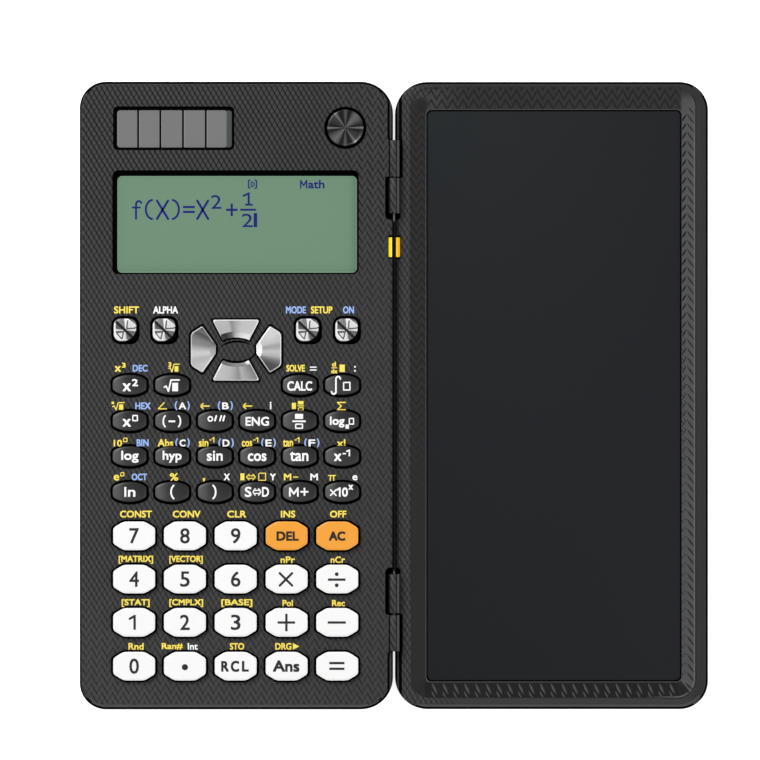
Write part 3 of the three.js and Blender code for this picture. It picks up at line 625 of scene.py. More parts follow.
    # ---- solar cells
    m = Mat("solar_cell_face", rough=0.4, spec=0.3)
    m.colour(m.noise(60, 2).colour(lin(112, 112, 112), lin(119, 119, 119))).bump(m.noise(2500, 1, stretch=(1, 0.1, 1)), 0.005, 0.2)
    MATS["solar"] = m.m
    m = Mat("solar_edge", rough=0.4, spec=0.3)
    m.colour(m.noise(60, 2).colour(lin(132, 132, 131), lin(140, 140, 139)))
    MATS["solar_edge"] = m.m
    # darker strip at the right end of the cells: painted shadow
    m = Mat("solar_strip", rough=0.4, spec=0.3)
    m.colour(m.noise(60, 2).colour(lin(64, 70, 70), lin(72, 78, 78)))
    MATS["solar_strip"] = m.m
    # ---- prints
    for key, c0, c1 in (("white", (248, 248, 250), (255, 255, 255)), ("yellow", (255, 226, 84), (255, 234, 104)), ("blue", (150, 180, 240), (166, 194, 250)), ("ink", (36, 37, 41), (46, 46, 50)), ("ink_orange", (36, 33, 28), (44, 40, 32))):
        m = Mat("print_" + key, rough=0.5, spec=0.25)
        m.colour(m.noise(500, 2).colour(lin(*c0), lin(*c1))).bump(m.noise(2500, 1), 0.005, 0.15)
        MATS[key] = m.m
    # ---- metal and small parts
    m = Mat("dark_steel", rough=0.5, metal=0.2, spec=0.1)
    # painted highlight: a lighter glint on the rod where it leaves the inner knuckles
    glint = m.y.step(PY(222.5), PY(219.5)).max(m.y.step(PY(569.5), PY(572.5))) * (m.x.abs()).step(0.26, 0.14)
    m.colour(glint.colour(m.noise(300, 3, stretch=(1, 0.05, 1)).colour(grey(10), grey(15)), grey(104))).rough(m.noise(1200, 2).mix(0.3, 0.45))
    MATS["rod"] = m.m
    m = Mat("steel", rough=0.35, metal=1.0)
    m.colour(m.noise(300, 3).colour(grey(150), grey(175))).rough(m.noise(1200, 2).mix(0.3, 0.45)).bump(m.noise(2000, 2), 0.01, 0.3)
    MATS["steel"] = m.m
    m = Mat("ribbon_film_painted_glow", rough=0.3, spec=0.5)
    tr = line(m.y * (1 / 0.6), 0.14, 0.1)
    col = m.x.step(-0.2, 0.2).colour(lin(255, 232, 40), lin(255, 200, 40))
    col = (tr * 0.15).colour(col, lin(226, 160, 24))
    # painted shadow: dark patches where the strip dips into the gap between the halves
    def shadow_patch(cx, hx, r=0.3):
        qx, qy = ((m.x - cx).abs() - (hx - r)).max(0.0), ((m.y - 39.5).abs() - (2.62 - r)).max(0.0)
        return ((qx * qx + qy * qy).sqrt() - r).step(0.03, -0.03)
    col = shadow_patch(-0.92, 0.50).max(shadow_patch(1.03, 0.56)).colour(grey(5), col)
    m.colour(col).bump(tr, 0.01, 0.4)
    # painted glow: the colour also drives emission, so the strip is brighter than its lighting makes it
    m.t.links.new(col.s, m.b.inputs["Emission Color"]); m.b.inputs["Emission Strength"].default_value = 0.8
    MATS["ribbon"] = m.m
    m = Mat("board_resist", rough=0.4, spec=0.4)
    tr = line(m.x * (1 / 2.3) + m.noise(40, 2) * 1.2, 0.07, 0.04)
    m.colour(tr.colour(lin(28, 84, 48), lin(44, 112, 64))).bump(tr, 0.01, 0.4)
    MATS["board"] = m.m
    m = Mat("silicone", rough=0.8, spec=0.2)
    m.colour(m.noise(120, 2).colour(grey(176), grey(188))).bump(m.noise(1500, 2), 0.02, 0.3)
    MATS["mat"] = m.m
    m = Mat("foot_rubber", rough=0.85, spec=0.2)
    m.colour(m.noise(300, 2).colour(grey(24), grey(31))).bump(m.noise(1600, 2), 0.03, 0.4)
    MATS["rubber"] = m.m
    m = Mat("back_grain", rough=0.6, spec=0.3)
    n = m.noise(1500, 3)
    m.colour(m.noise(60, 3).colour(grey(42), grey(48))).rough(n.mix(0.52, 0.68)).bump(n, 0.05, 0.5)
    MATS["back"] = m.m

make_materials()

# ================================================================== lettering
_text = {}
def text_mesh(txt, bold=0.0):
    key = (txt, 0)
    if key not in _text:
        cu = bpy.data.curves.new("t", "FONT")
        cu.body = txt; cu.resolution_u = 3; cu.fill_mode = "BOTH" if hasattr(cu, "fill_mode") else "FRONT"
        ob = link("t", cu)
        bpy.context.view_layer.update()
        me = bpy.data.meshes.new_from_object(ob.evaluated_get(bpy.context.evaluated_depsgraph_get()))
        v = [(q.co.x, q.co.y) for q in me.vertices]
        f = [tuple(p.vertices) for p in me.polygons]
        _text[key] = (v, f)
        bpy.data.objects.remove(ob); bpy.data.curves.remove(cu); bpy.data.meshes.remove(me)
    return _text[key]

def word(txt, x0, x1, yt, yb, bold=0.0, slant=0.0):
    """Lettering fitted to a box of the plan grid (yt is the upper edge); bold widens the strokes by shifted copies."""
    v, f = text_mesh(txt)
    if not v: return ([], [])
    e = bold * 12.0                                    # grid units
    x0, x1, yt, yb = x0 + e, x1 - e, yt + e, yb - e
    ax, bx = min(q[0] for q in v), max(q[0] for q in v)
    ay, by = min(q[1] for q in v), max(q[1] for q in v)
    sx, sy = (x1 - x0) / max(bx - ax, 1e-6), (yt - yb) / max(by - ay, 1e-6)
    base = []
    for x, y in v:
        X = x0 + (x - ax) * sx
        Y = yb + (y - ay) * sy
        X += slant * (yb - Y)
        base.append((X, Y))
    out, faces = [], []
    for lift, (dx, dy) in enumerate([(0, 0)] if not e else [(-e, -e), (e, -e), (-e, e), (e, e), (0, 0)]):
        o = len(out)
        out += [(PX(X + dx), PY(Y + dy), lift * 0.004) for X, Y in base]
        faces += [tuple(i + o for i in q) for q in f]
    return out, [tuple(reversed(q)) if area([out[i][:2] for i in q]) < 0 else q for q in faces]

def one(x0, x1, yt, yb, w):
    """A figure 1 with a flag."""
    xm = x0 + (x1 - x0) * 0.66
    a, b = pen([(x0, yt + (yb - yt) * 0.26), (xm - w * 0.1, yt + w * 0.55)], w), bar(xm - w / 2, xm + w / 2, yt, yb)
    return merged_flat([a, b])

def merged_flat(marks):
    v, f = [], []
    for mv, mf in marks:
        o = len(v)
        v += mv
        f += [tuple(i + o for i in q) for q in mf]
    return v, f

def pen(pts, w, closed=False, round_ends=True):
    """A drawn line on the plan grid."""
    v, f = [], []
    src_ = list(pts) + ([pts[0]] if closed else [])
    seq = [src_[0]]
    for (ax, ay), (bx, by) in zip(src_, src_[1:]):
        k = max(1, int(math.hypot(bx - ax, by - ay) / 2.4))
        seq += [(ax + (bx - ax) * i / k, ay + (by - ay) * i / k) for i in range(1, k + 1)]
    for (ax, ay), (bx, by) in zip(seq, seq[1:]):
        l = math.hypot(bx - ax, by - ay)
        if l < 1e-6: continue
        nx, ny = -(by - ay) / l * w / 2, (bx - ax) / l * w / 2
        o = len(v)
        up = 0.004 * (len(f) % 2)
        v += [(PX(ax - nx), PY(ay - ny), up), (PX(bx - nx), PY(by - ny), up), (PX(bx + nx), PY(by + ny), up), (PX(ax + nx), PY(ay + ny), up)]
        f.append((o, o + 1, o + 2, o + 3) if area([q[:2] for q in v[o:o + 4]]) > 0 else (o + 3, o + 2, o + 1, o))
    dots = seq if round_ends else seq[1:-1]
    for j, (x, y) in enumerate(dots):
        o = len(v)
        v += [(PX(x + w / 2 * math.cos(2 * math.pi * k / 8)), PY(y - w / 2 * math.sin(2 * math.pi * k / 8)), 0.008 + 0.004 * (j % 2)) for k in range(8)]
        f.append(tuple(range(o, o + 8)))
    return v, f

def blob(cx, cy, rx, ry=None, n=20):
    ry = ry or rx
    v = [(PX(cx + rx * math.cos(2 * math.pi * k / n)), PY(cy - ry * math.sin(2 * math.pi * k / n)), 0.002) for k in range(n)]
    return v, [tuple(range(n))]

_bars = [0]
def bar(x0, x1, y0, y1):
    _bars[0] += 1
    up = 0.014 + 0.004 * (_bars[0] % 2)
    return [(PX(x0), PY(y1), up), (PX(x1), PY(y1), up), (PX(x1), PY(y0), up), (PX(x0), PY(y0), up)], [(0, 1, 2, 3)]

def frame_box(x0, x1, y0, y1, w):
    return pen([(x0 + w / 2, y0 + w / 2), (x1 - w / 2, y0 + w / 2), (x1 - w / 2, y1 - w / 2), (x0 + w / 2, y1 - w / 2)], w, True)

def arc(cx, cy, rx, ry, a0, a1, n=10):
    return [(cx + rx * math.cos(math.radians(a0 + (a1 - a0) * k / n)), cy - ry * math.sin(math.radians(a0 + (a1 - a0) * k / n))) for k in range(n + 1)]

def prints(name, marks, z, mat, body, at=None):
    """One mesh from flat marks; z is a number or a function of x, y (mm). at: origin of the key it sits on."""
    v, f = [], []
    for mv, mf in marks:
        o = len(v)
        v += mv
        f += [tuple(i + o for i in q) for q in mf]
    ox, oy = at or (0, 0)
    zf = z if callable(z) else (lambda x, y: z)
    top = [(q[0] - ox, q[1] - oy, zf(q[0] - ox, q[1] - oy) + (q[2] if len(q) > 2 else 0.0)) for q in v]
    n, edges = len(top), {}
    for q in f:
        for a, b in zip(q, q[1:] + q[:1]): edges[(a, b)] = edges.get((a, b), 0) + 1
    rims = [(a, b) for a, b in edges if (b, a) not in edges]
    f = f + [tuple(i + n for i in reversed(q)) for q in f] + [(a + n, b + n, b, a) for a, b in rims]
    ob = build(name, top + [(x, y, h - 0.06) for x, y, h in top], f, [MATS[mat]])
    ob.location = (ox * MM, oy * MM, 0)
    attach(ob, body)
    return ob

# ================================================================== calculator half
calc_outline = rrect(-HALF_W, -END_X, -HALF_H, HALF_H, [R_HINGE, R_OUT_CALC, R_OUT_CALC, R_HINGE], 12)
tab_outline = rrect(END_X, HALF_W, -HALF_H, HALF_H, [R_OUT_TAB, R_HINGE, R_HINGE, R_OUT_TAB], 12)
WALL = 1.8
in_calc = rrect(-HALF_W + WALL, -2.95, -HALF_H + WALL, HALF_H - WALL, [R_HINGE - WALL, R_OUT_CALC - WALL, R_OUT_CALC - WALL, R_HINGE - WALL], 8)

def shoulder(side, face_x, top, y0, y1):
    s, z = side, top - SHOULDER_DROP
    lo, hi = (1.30, 0.86) if s > 0 else (1.16, 0.72)
    sec = [(s * face_x, top + 1), (s * face_x, z + 0.2), (s * (face_x - 0.1), z - 0.06), (s * (lo + 0.1), z - 0.1), (s * lo, z), (s * hi, z),
           (s * (hi - 0.12), z - 0.08), (s * (END_X + 0.2), z - 0.4), (s * (END_X + 0.06), z - 0.8), (s * (END_X - 0.02), z - 1.2), (s * (END_X - 1.0), z - 1.2), (s * (END_X - 1.0), top + 1)]
    return along_y(sec, y0, y1)

def notch(side, top, y0, y1):
    a = along_y(ringz(NOTCH_R, 48), y0, y1)
    x0, x1 = (-0.6, NOTCH_R) if side > 0 else (-NOTCH_R, 0.6)
    return [a, boxd(x0, x1, y0, y1, AXIS_Z, top + 1)]

def edge_profile(outline, top, e=0.85):
    rings = []
    for k in range(7):
        a = math.pi / 2 * k / 6
        rings.append((grow(outline, -e * (1 - math.cos(a))), top - e + e * math.sin(a) * 1.0))
    rings.append((grow(outline, -1.22), top))
    return rings

# --- front housing: shell with openings
front = loft("front_shell", [(calc_outline, SPLIT_Z + 0.3)] + edge_profile(calc_outline, CALC_T), [MATS["grain"], MATS["plain"], MATS["black"]])
relief = [shoulder(-1, SHOULDER_CALC, CALC_T, HINGE_ZONE[1], HALF_H + 2), shoulder(-1, SHOULDER_CALC, CALC_T, -HALF_H - 2, HINGE_ZONE[0])]
boolean(front, relief)
boolean(front, [loft_data([(in_calc, 2.0), (in_calc, PLATE_Z)])])
boolean(front, [boxd(-MID_X + 0.1, 1, HINGE_ZONE[0], HINGE_ZONE[1], -1, CALC_T + 1)])
boolean(front, [boxd(-1.42, 1, a - KNUCKLE_GAP, b + KNUCKLE_GAP, AXIS_Z - 2.3, CALC_T + 1) for a, b in KNUCKLES_CALC])
for a, b in KNUCKLES_TAB:
    n1, n2 = notch(-1, CALC_T, a - KNUCKLE_GAP, b + KNUCKLE_GAP)
    boolean(front, [n1]); boolean(front, [n2])
    lo_, hi_ = (a - 1.75, b + 0.3) if a > 0 else (a - 0.3, b + 1.75)
    boolean(front, [loft_data([(rrect(-2.36, 0.6, lo_, hi_, [0.1, 1.3 if a < 0 else 0.5, 1.3 if a > 0 else 0.5, 0.1], 8), z) for z in (AXIS_Z - 2.0, CALC_T + 1)])])
boolean(front, [boxd(-1.5, 1, RIBBON_Y[0] - 0.45, RIBBON_Y[1] + 0.45, 5.2, CALC_T + 1)])

def chamfered(hole, z0=PLATE_Z - 0.4, e=0.18):
    """Cutter for an opening whose mouth is slightly eased."""
    return loft_data([(hole, z0), (hole, CALC_T - e), (grow(hole, e * 0.45), CALC_T - e * 0.45), (grow(hole, e * 1.3), CALC_T + 0.15), (grow(hole, e * 1.3), CALC_T + 1)])

def at(p, x, y): return [(a + x, b + y) for a, b in p]

FN_HOLE = barrel_outline(10.0, 6.4, 96)
NUM_HOLE_PL = octo_planes(12.1, 8.35, 5.85, 4.55)
NUM_HOLE = convex(NUM_HOLE_PL, 0, 26, 96)
GEM_HOLE = rrect(-3.65, 3.65, -3.65, 3.65, 2.3, 8)
cutters = []
for r, row in enumerate(FN_NAMES):
    for c, name in enumerate(row):
        if name: cutters.append(chamfered(at(FN_HOLE, FN_X[c], FN_Y[r])))
for r in range(4):
    for c in range(5): cutters.append(chamfered(at(NUM_HOLE, NUM_X[c], NUM_Y[r])))
for c in range(4): cutters.append(chamfered(at(GEM_HOLE, GEM_X[c], GEM_Y)))
cutters.append(chamfered(circle(ERASE[0], ERASE[1], 5.5, 72)))

PAD_UP = [(-6.65, 8.35), (6.6, 8.35), (3.5, 2.42), (2.1, 3.04), (0.7, 3.28), (-0.8, 3.28), (-2.2, 3.04), (-3.6, 2.42)]
PAD_RIGHT = [(8.9, 6.9), (12.3, 4.75), (12.3, -4.2), (8.9, -6.35), (5.2, -1.0), (5.05, 1.45)]
UP_R = [0.5, 0.5, 0.4, 2.0, 2.0, 2.0, 2.0, 0.4]
RT_R = [0.5, 1.6, 1.6, 0.5, 0.7, 0.9]
def lobe_outlines(d):
    up = grow(PAD_UP, -d) if d else PAD_UP
    rt = grow(PAD_RIGHT, -d) if d else PAD_RIGHT
    def rr(p, ref):
        q = p if area(p) > 0 else p[::-1]
        return q
    upq, rtq = rr(up, None), rr(rt, None)
    u_r = UP_R if area(PAD_UP) > 0 else UP_R[::-1]
    r_r = RT_R if area(PAD_RIGHT) > 0 else RT_R[::-1]
    u = rounded(upq, [max(v - d * 0.3, 0.25) for v in u_r], 6)
    r = rounded(rtq, [max(v - d * 0.3, 0.25) for v in r_r], 6)
    return {"up": u, "down": [(x, -y * 0.985) for x, y in u][::-1], "right": r, "left": [(-x, y) for x, y in r][::-1]}
for p in lobe_outlines(-0.14).values(): cutters.append(chamfered(at(p, *PAD)))
def groove(pts, w, z0):
    """Narrow channel along a line of the plan grid."""
    lft, rgt = [], []
    for i, (x, y) in enumerate(pts):
        (ax, ay), (bx, by) = pts[max(0, i - 1)], pts[min(len(pts) - 1, i + 1)]
        l = math.hypot(bx - ax, by - ay)
        t = w / 2 * min(1.0, 0.25 + 3.0 * min(i, len(pts) - 1 - i) / len(pts))
        lft.append((PX(x - (by - ay) / l * t), PY(y + (bx - ax) / l * t)))
        rgt.append((PX(x + (by - ay) / l * t), PY(y - (bx - ax) / l * t)))
    poly = lft + rgt[::-1]
    return loft_data([(poly, z0), (poly, CALC_T + 0.5)])
cutters.append(chamfered(rrect(*LCD_OPEN, 1.5, 8)))
cutters.append(loft_data([(rrect(*SOLAR, 1.1, 8), 8.0), (rrect(*SOLAR, 1.1, 8), CALC_T - 0.15), (grow(rrect(*SOLAR, 1.1, 8), 0.15), CALC_T + 0.05), (grow(rrect(*SOLAR, 1.1, 8), 0.15), CALC_T + 1)]))
boolean(front, cutters)
boolean(front, [groove(arc(237.4, 351.6, 18.4, 10.2, 152, 42, 22), 1.9, CALC_T - 0.4)])
boolean(front, [groove(arc(237.4, 351.2, 18.2, 10.3, 1, -136, 26), 1.7, CALC_T - 0.4)])

def assign(ob, rule):
    me = ob.data
    for p in me.polygons:
        c = p.center / MM
        p.material_index = rule(c.x, c.y, c.z, p.normal)

def rim_rule(z, n, top):
    """Rounded outer edge: painted black as shade, with a fine painted highlight line along the near side."""
    if z > top - 0.83 and n.z > 0.05:
        if z < top - 0.11: return 3
        h = math.hypot(n.x, n.y)
        if n.z < 0.9995:
            if n.y < -0.6 * h: return 3 if z < top - 0.03 else 4
            if n.y > 0.6 * h or n.x > 0.6 * h: return 3 if z < top - 0.03 else 1
            return 1 if z < top - 0.03 else 0
        return 0
    return 1

def near_edge(x, y, x0, x1, r):
    """True on the narrow flat strip just inside the rounded edge, along the near side, where the painted highlight
    line goes.
    """
    if y > -HALF_H + 6: return False
    cy = -HALF_H + r
    cx = min(max(x, x0 + r), x1 - r)
    d = r - math.hypot(x - cx, y - cy) if y < cy else 9
    return 0.84 < d < 1.23 and (y - cy) < -0.6 * math.hypot(x - cx, y - cy)

# materials: 2 the dark colour painted as shade in the cavity and the hinge gap, 3 painted shade on hole walls, hinge
# shoulders and the rounded edge, 4 a painted highlight line on the hinge shoulder and along the near edge
def front_rule(x, y, z, n):
    inside = (-HALF_W + 2.2 < x < -3.4) and (-HALF_H + 2.2 < y < HALF_H - 2.2)
    if inside and (z < CALC_T - 0.19 or n.z < -0.2): return 2
    if x > -1.82 and abs(y) > 68.2 and n.z > -0.2 and z > 5:
        if -1.2 < x < -0.7 and n.z > 0.9 and abs(y) < 76.5: return 4
        return 3
    if x > -2.6 and abs(y) < 68.4: return 2 if z < CALC_T - 0.6 or n.z < 0.3 else 0
    if inside and z < CALC_T - 0.004: return 0 if (31 < y < 61.5 and x < -8 and (x < -74 or y < 33)) else 3
    if z > CALC_T - 0.003 and near_edge(x, y, -HALF_W, -END_X, R_OUT_CALC): return 4
    return rim_rule(z, n, CALC_T)
front.data.materials.clear()
for k in ("grain", "plain", "black", "edge", "line"): front.data.materials.append(MATS[k])
assign(front, front_rule)
shade(front, 30)
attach(front, "calculator"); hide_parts("front_housing")

# --- knuckles on the calculator side
def knuckle(name, y0, y1, web, mats, body):
    n = 48
    sec = ringz(BARREL_R, n)
    rings = []
    e = 0.22
    for yy, r in ((y0, BARREL_R - e), (y0 + e * 0.35, BARREL_R - e * 0.35), (y0 + e, BARREL_R), (y1 - e, BARREL_R), (y1 - e * 0.35, BARREL_R - e * 0.35), (y1, BARREL_R - e)):
        rings.append([(x, yy, z) for x, z in ringz(r, n)])
    v = [q for r in rings for q in r]
    f = [(k * n + i, (k + 1) * n + i, (k + 1) * n + (i + 1) % n, k * n + (i + 1) % n) for k in range(len(rings) - 1) for i in range(n)]
    f += [tuple(range(n)), tuple(reversed(range((len(rings) - 1) * n, len(rings) * n)))]
    ob = build(name, v, f, mats)
    boolean(ob, [web], "UNION")
    boolean(ob, [along_y(ringz(BORE_R, 32), y0 - 1, y1 + 1)])
    ob.data.materials.clear()
    for m in mats: ob.data.materials.append(m)
    shade(ob, 30)
    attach(ob, body)
    return ob

for k, (a, b) in enumerate(KNUCKLES_CALC):
    knuckle(f"calculator_knuckle_{k + 1}", a, b, boxd(-3.2, -0.05, a + 0.02, b - 0.02, AXIS_Z - 1.5, AXIS_Z + 0.75), [MATS["knuckle"]], "calculator")

# --- dark sheet under the opening and the display area on it; the dark border is wider at the top and left as a painted shadow of the recess wall
lcd = loft("display_glass", [(rrect(-77, -7.9, 30.2, 61.9, 0.6, 3), 5.9), (rrect(-77, -7.9, 30.2, 61.9, 0.6, 3), 7.5), (rrect(-76.9, -8.0, 30.3, 61.8, 0.5, 3), 7.6)], [MATS["black"]])
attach(lcd, "calculator"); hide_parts("lcd_glass")
GREEN = (PX(117.6), PX(356.9), PY(272.6), PY(176.0))
green = loft("display_area", [(rrect(*GREEN, 1.2, 8), 7.605), (rrect(*GREEN, 1.2, 8), 7.66)], [MATS["lcd"]])
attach(green, "calculator")

seg = [pen([(136.2, 218.8), (136.2, 205.2)] + arc(139.0, 204.6, 2.8, 3.6, 180, 30, 6), 1.9), bar(132.2, 140.8, 206.6, 208.3), pen(arc(153.2, 209.4, 7.2, 9.6, 98, 262, 14), 2.0), pen([(157.2, 200.6), (168.2, 218.8)], 2.2), pen([(168.2, 200.6), (157.2, 218.8)], 2.2), pen(arc(171.8, 209.4, 7.2, 9.6, -82, 82, 14), 2.0),
       bar(183.2, 194.9, 205.9, 208.0), bar(183.2, 194.9, 210.8, 212.9), pen([(197.4, 200.6), (208.2, 218.8)], 2.2), pen([(208.2, 200.6), (197.4, 218.8)], 2.2), word("2", 211.2, 221.5, 195, 208.7),
       bar(226.2, 237.5, 208.7, 210.8), bar(230.8, 232.9, 203.5, 216), bar(240.4, 256.0, 208.7, 210.6), one(243.6, 251.4, 192.4, 205.5, 1.9), bar(245.2, 252.8, 203.7, 205.5), word("2", 242.0, 253.0, 213.6, 227),
       bar(253.8, 257.2, 213, 227), pen([(250, 180), (248.6, 180.6), (248.6, 187.6), (250, 188.2)], 1.2), pen([(255, 180), (256.6, 180.6), (256.6, 187.6), (255, 188.2)], 1.2), word("D", 250.8, 254.8, 181.6, 186.8, 0.015), pen([(300.8, 188.0), (300.8, 180.4), (303.7, 185.6), (306.6, 180.4), (306.6, 188.0)], 1.3), word("ath", 308.2, 324.5, 180.0, 188.4, 0.02)]
prints("display_segments", seg, 7.68, "segment", "calculator")

# --- solar cell: face, dividers, strip; the black tray shows as a border wider at the top and left, a painted shadow of the recess wall, and the darker strip at the right end is a painted shadow
solar_out = rrect(SOLAR[0] + 0.12, SOLAR[1] - 0.12, SOLAR[2] + 0.12, SOLAR[3] - 0.12, 1.0, 6)
sol = loft("solar_tray", [(solar_out, 7.9), (solar_out, 8.45), (grow(solar_out, -0.1), 8.5)], [MATS["black"]])
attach(sol, "calculator"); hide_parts("solar_cell")
cells, edges = [], []
xs = [116.6, 138.4, 160.6, 183.2, 206.0, 227.0]
for a, b in zip(xs, xs[1:]):
    x0, x1 = PX(a + 0.9), PX(b - (0.9 if b < 226 else 0.2))
    y0, y1 = PY(147.6), PY(110.4)
    rr_ = [0.12, 0.75, 0.75, 0.12] if a == xs[0] else ([0.6, 0.12, 0.12, 0.6] if b == xs[-1] else 0.12)
    ri_ = [max(q - .05, .08) for q in rr_] if isinstance(rr_, list) else 0.1
    cells.append(loft_data([(rrect(x0, x1, y0, y1, rr_, 4), 8.45), (rrect(x0, x1, y0, y1, rr_, 4), 8.56), (rrect(x0 + .05, x1 - .05, y0 + .05, y1 - .05, ri_, 4), 8.6)]))
    in_ = 0.7 if a == xs[0] else 0.1
    edges.append(loft_data([(rrect(x0 + 0.06, x0 + 0.22, y0 + in_, y1 - in_, 0.06, 2), 8.59), (rrect(x0 + 0.06, x0 + 0.22, y0 + in_, y1 - in_, 0.06, 2), 8.61)]))
v, f = merged(cells); c = build("solar_cells", v, f, [MATS["solar"]]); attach(c, "calculator")
v, f = merged(edges); c = build("solar_cell_edges", v, f, [MATS["solar_edge"]]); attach(c, "calculator")
v, f = loft_data([(rrect(PX(226.6), PX(231.9), PY(147.4), PY(110.6), [0.7, 0.1, 0.1, 0.7], 5), 8.45), (rrect(PX(226.6), PX(231.9), PY(147.4), PY(110.6), [0.7, 0.1, 0.1, 0.7], 5), 8.56)])
c = build("solar_side_strip", v, f, [MATS["solar_strip"]]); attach(c, "calculator")

# ================================================================== keys
KEY_SURF = {}
def fn_outline(d): return barrel_outline(9.3 - 2 * d, 5.6 - 2 * d)
def fn_surface(x, y): return 0.16 * (x / 4.65) ** 2 + 0.10 * (y / 2.8) ** 2
FN_PROFILE = [(0.0, 0.62), (0.05, 0.40), (0.16, 0.20), (0.34, 0.07), (0.55, 0.0)]
FN_FL = barrel_outline(10.6, 7.0)
fn_drop = FN_TOP
for r, row in enumerate(FN_NAMES):
    for c, name in enumerate(row):
        if not name: continue
        x, y = FN_X[c], FN_Y[r]
        ob = cap("cap_" + name, (x, y + 0.08), [(FN_FL, 6.7), (FN_FL, 7.6), (fn_outline(0), 7.6)], fn_outline, FN_PROFILE, FN_TOP, [MATS["fn"], MATS["black"], MATS["edge"]], fn_surface, edge_bands=2)
        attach(ob, f"key_{name}_cap"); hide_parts("key_" + name)
        KEY_SURF[name] = ((x, y), lambda x, y: FN_TOP - fn_surface(x, y) + 0.035, f"key_{name}_cap", "function_key")

NUM_PL = octo_planes(11.5, 8.0, 5.7, 4.45)
NUM_FL = convex(octo_planes(12.7, 8.95, 6.1, 4.8))
def num_outline(d): return convex(NUM_PL, d)
def num_surface(x, y): return 0.0
NUM_PROFILE = [(0.0, 0.62), (0.03, 0.45), (0.10, 0.34), (0.20, 0.29), (0.60, 0.22), (0.66, 0.20), (0.74, 0.20)]
for r, row in enumerate(NUM_NAMES):
    for c, name in enumerate(row):
        x, y = NUM_X[c], NUM_Y[r]
        orange = r == 0 and c > 2
        ob = cap("cap_" + name, (x, y), [(NUM_FL, 6.7), (NUM_FL, 7.6), (num_outline(0), 7.6)], num_outline, NUM_PROFILE, NUM_TOP, [MATS["orange" if orange else "num"], MATS["black"], MATS["edge"]], num_surface, edge_bands=3)
        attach(ob, f"key_{name}_cap"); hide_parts("key_" + name)
        KEY_SURF[name] = ((x, y), lambda x, y: NUM_TOP - 0.20 + 0.02, f"key_{name}_cap", "orange_key" if orange else "number_key")

GEM_BASE = rrect(-3.2, 3.2, -3.2, 3.2, [1.9, 1.9, 2.0, 2.6], 12)
def gem_outline(d):
    return rrect(-3.12 + d, 2.95 - d, -2.98 + d, 3.12 - d, [max(1.9 - d, 0.4), max(1.9 - d, 0.4), max(1.9 - d, 0.4), max(3.5 - d, 0.6)], 12)
def gem_wall(): return rrect(-3.2, 3.2, -3.2, 3.2, 1.9, 12)
GEM_FL = rrect(-3.95, 3.95, -3.95, 3.95, 2.6, 12)
def gem_surface(x, y): return 0.02 * (x * x + y * y) / 5.0
GX0, GY0 = 125.25, 329.95
for c, name in enumerate(GEM_NAMES):
    x, y = GEM_X[c], GEM_Y
    ob = cap("cap_" + name, (x, y), [(GEM_FL, 6.7), (GEM_FL, 7.6), (gem_wall(), 7.6)], gem_outline, [(0, 0.62), (0.05, 0.34), (0.14, 0.2), (0.26, 0.12), (0.3, 0.1)], GEM_TOP, [MATS["gem"], MATS["black"], MATS["edge"]], gem_surface, edge_bands=1)
    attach(ob, f"key_{name}_cap"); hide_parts("key_" + name)
    zt = GEM_TOP - 0.1
    def G(pts): return [((px - GX0) * S, -(py - GY0) * S) for px, py in pts]
    def plate(nm, outs, z0, z1, mat):
        v, f = merged([loft_data([(G(o), z0), (G(o), z1)]) for o in outs])
        q = build(f"{nm}_{name}", v, f, [MATS[mat]], None, 20)
        q.location = (x * MM, y * MM, 0)
        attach(q, f"key_{name}_cap")
    # two cut facets, each a frame with a painted dark reflection round a face with a painted light reflection, and a
    # slit across the key painted dark as shade
    plate("facet_frame", [[(127.4, 319.8), (136.2, 327.0), (134.8, 328.6), (126.0, 329.2), (126.6, 322.0)],
                          [(115.6, 330.9), (124.6, 330.6), (124.0, 333.0), (122.4, 339.4), (120.6, 338.6), (116.2, 333.4)]], zt - 0.1, zt + 0.012, "facet_dark")
    plate("facet_face", [[(128.2, 319.6), (136.4, 326.2), (134.4, 327.4), (127.6, 327.8)],
                         [(117.6, 333.0), (122.6, 332.6), (121.6, 337.2), (120.6, 337.0)]], zt - 0.1, zt + 0.022, "facet_light")
    plate("slit", [[(116.8, 320.4), (133.4, 336.2), (131.6, 338.1), (114.9, 322.3)]], zt - 0.1, zt + 0.03, "slit")

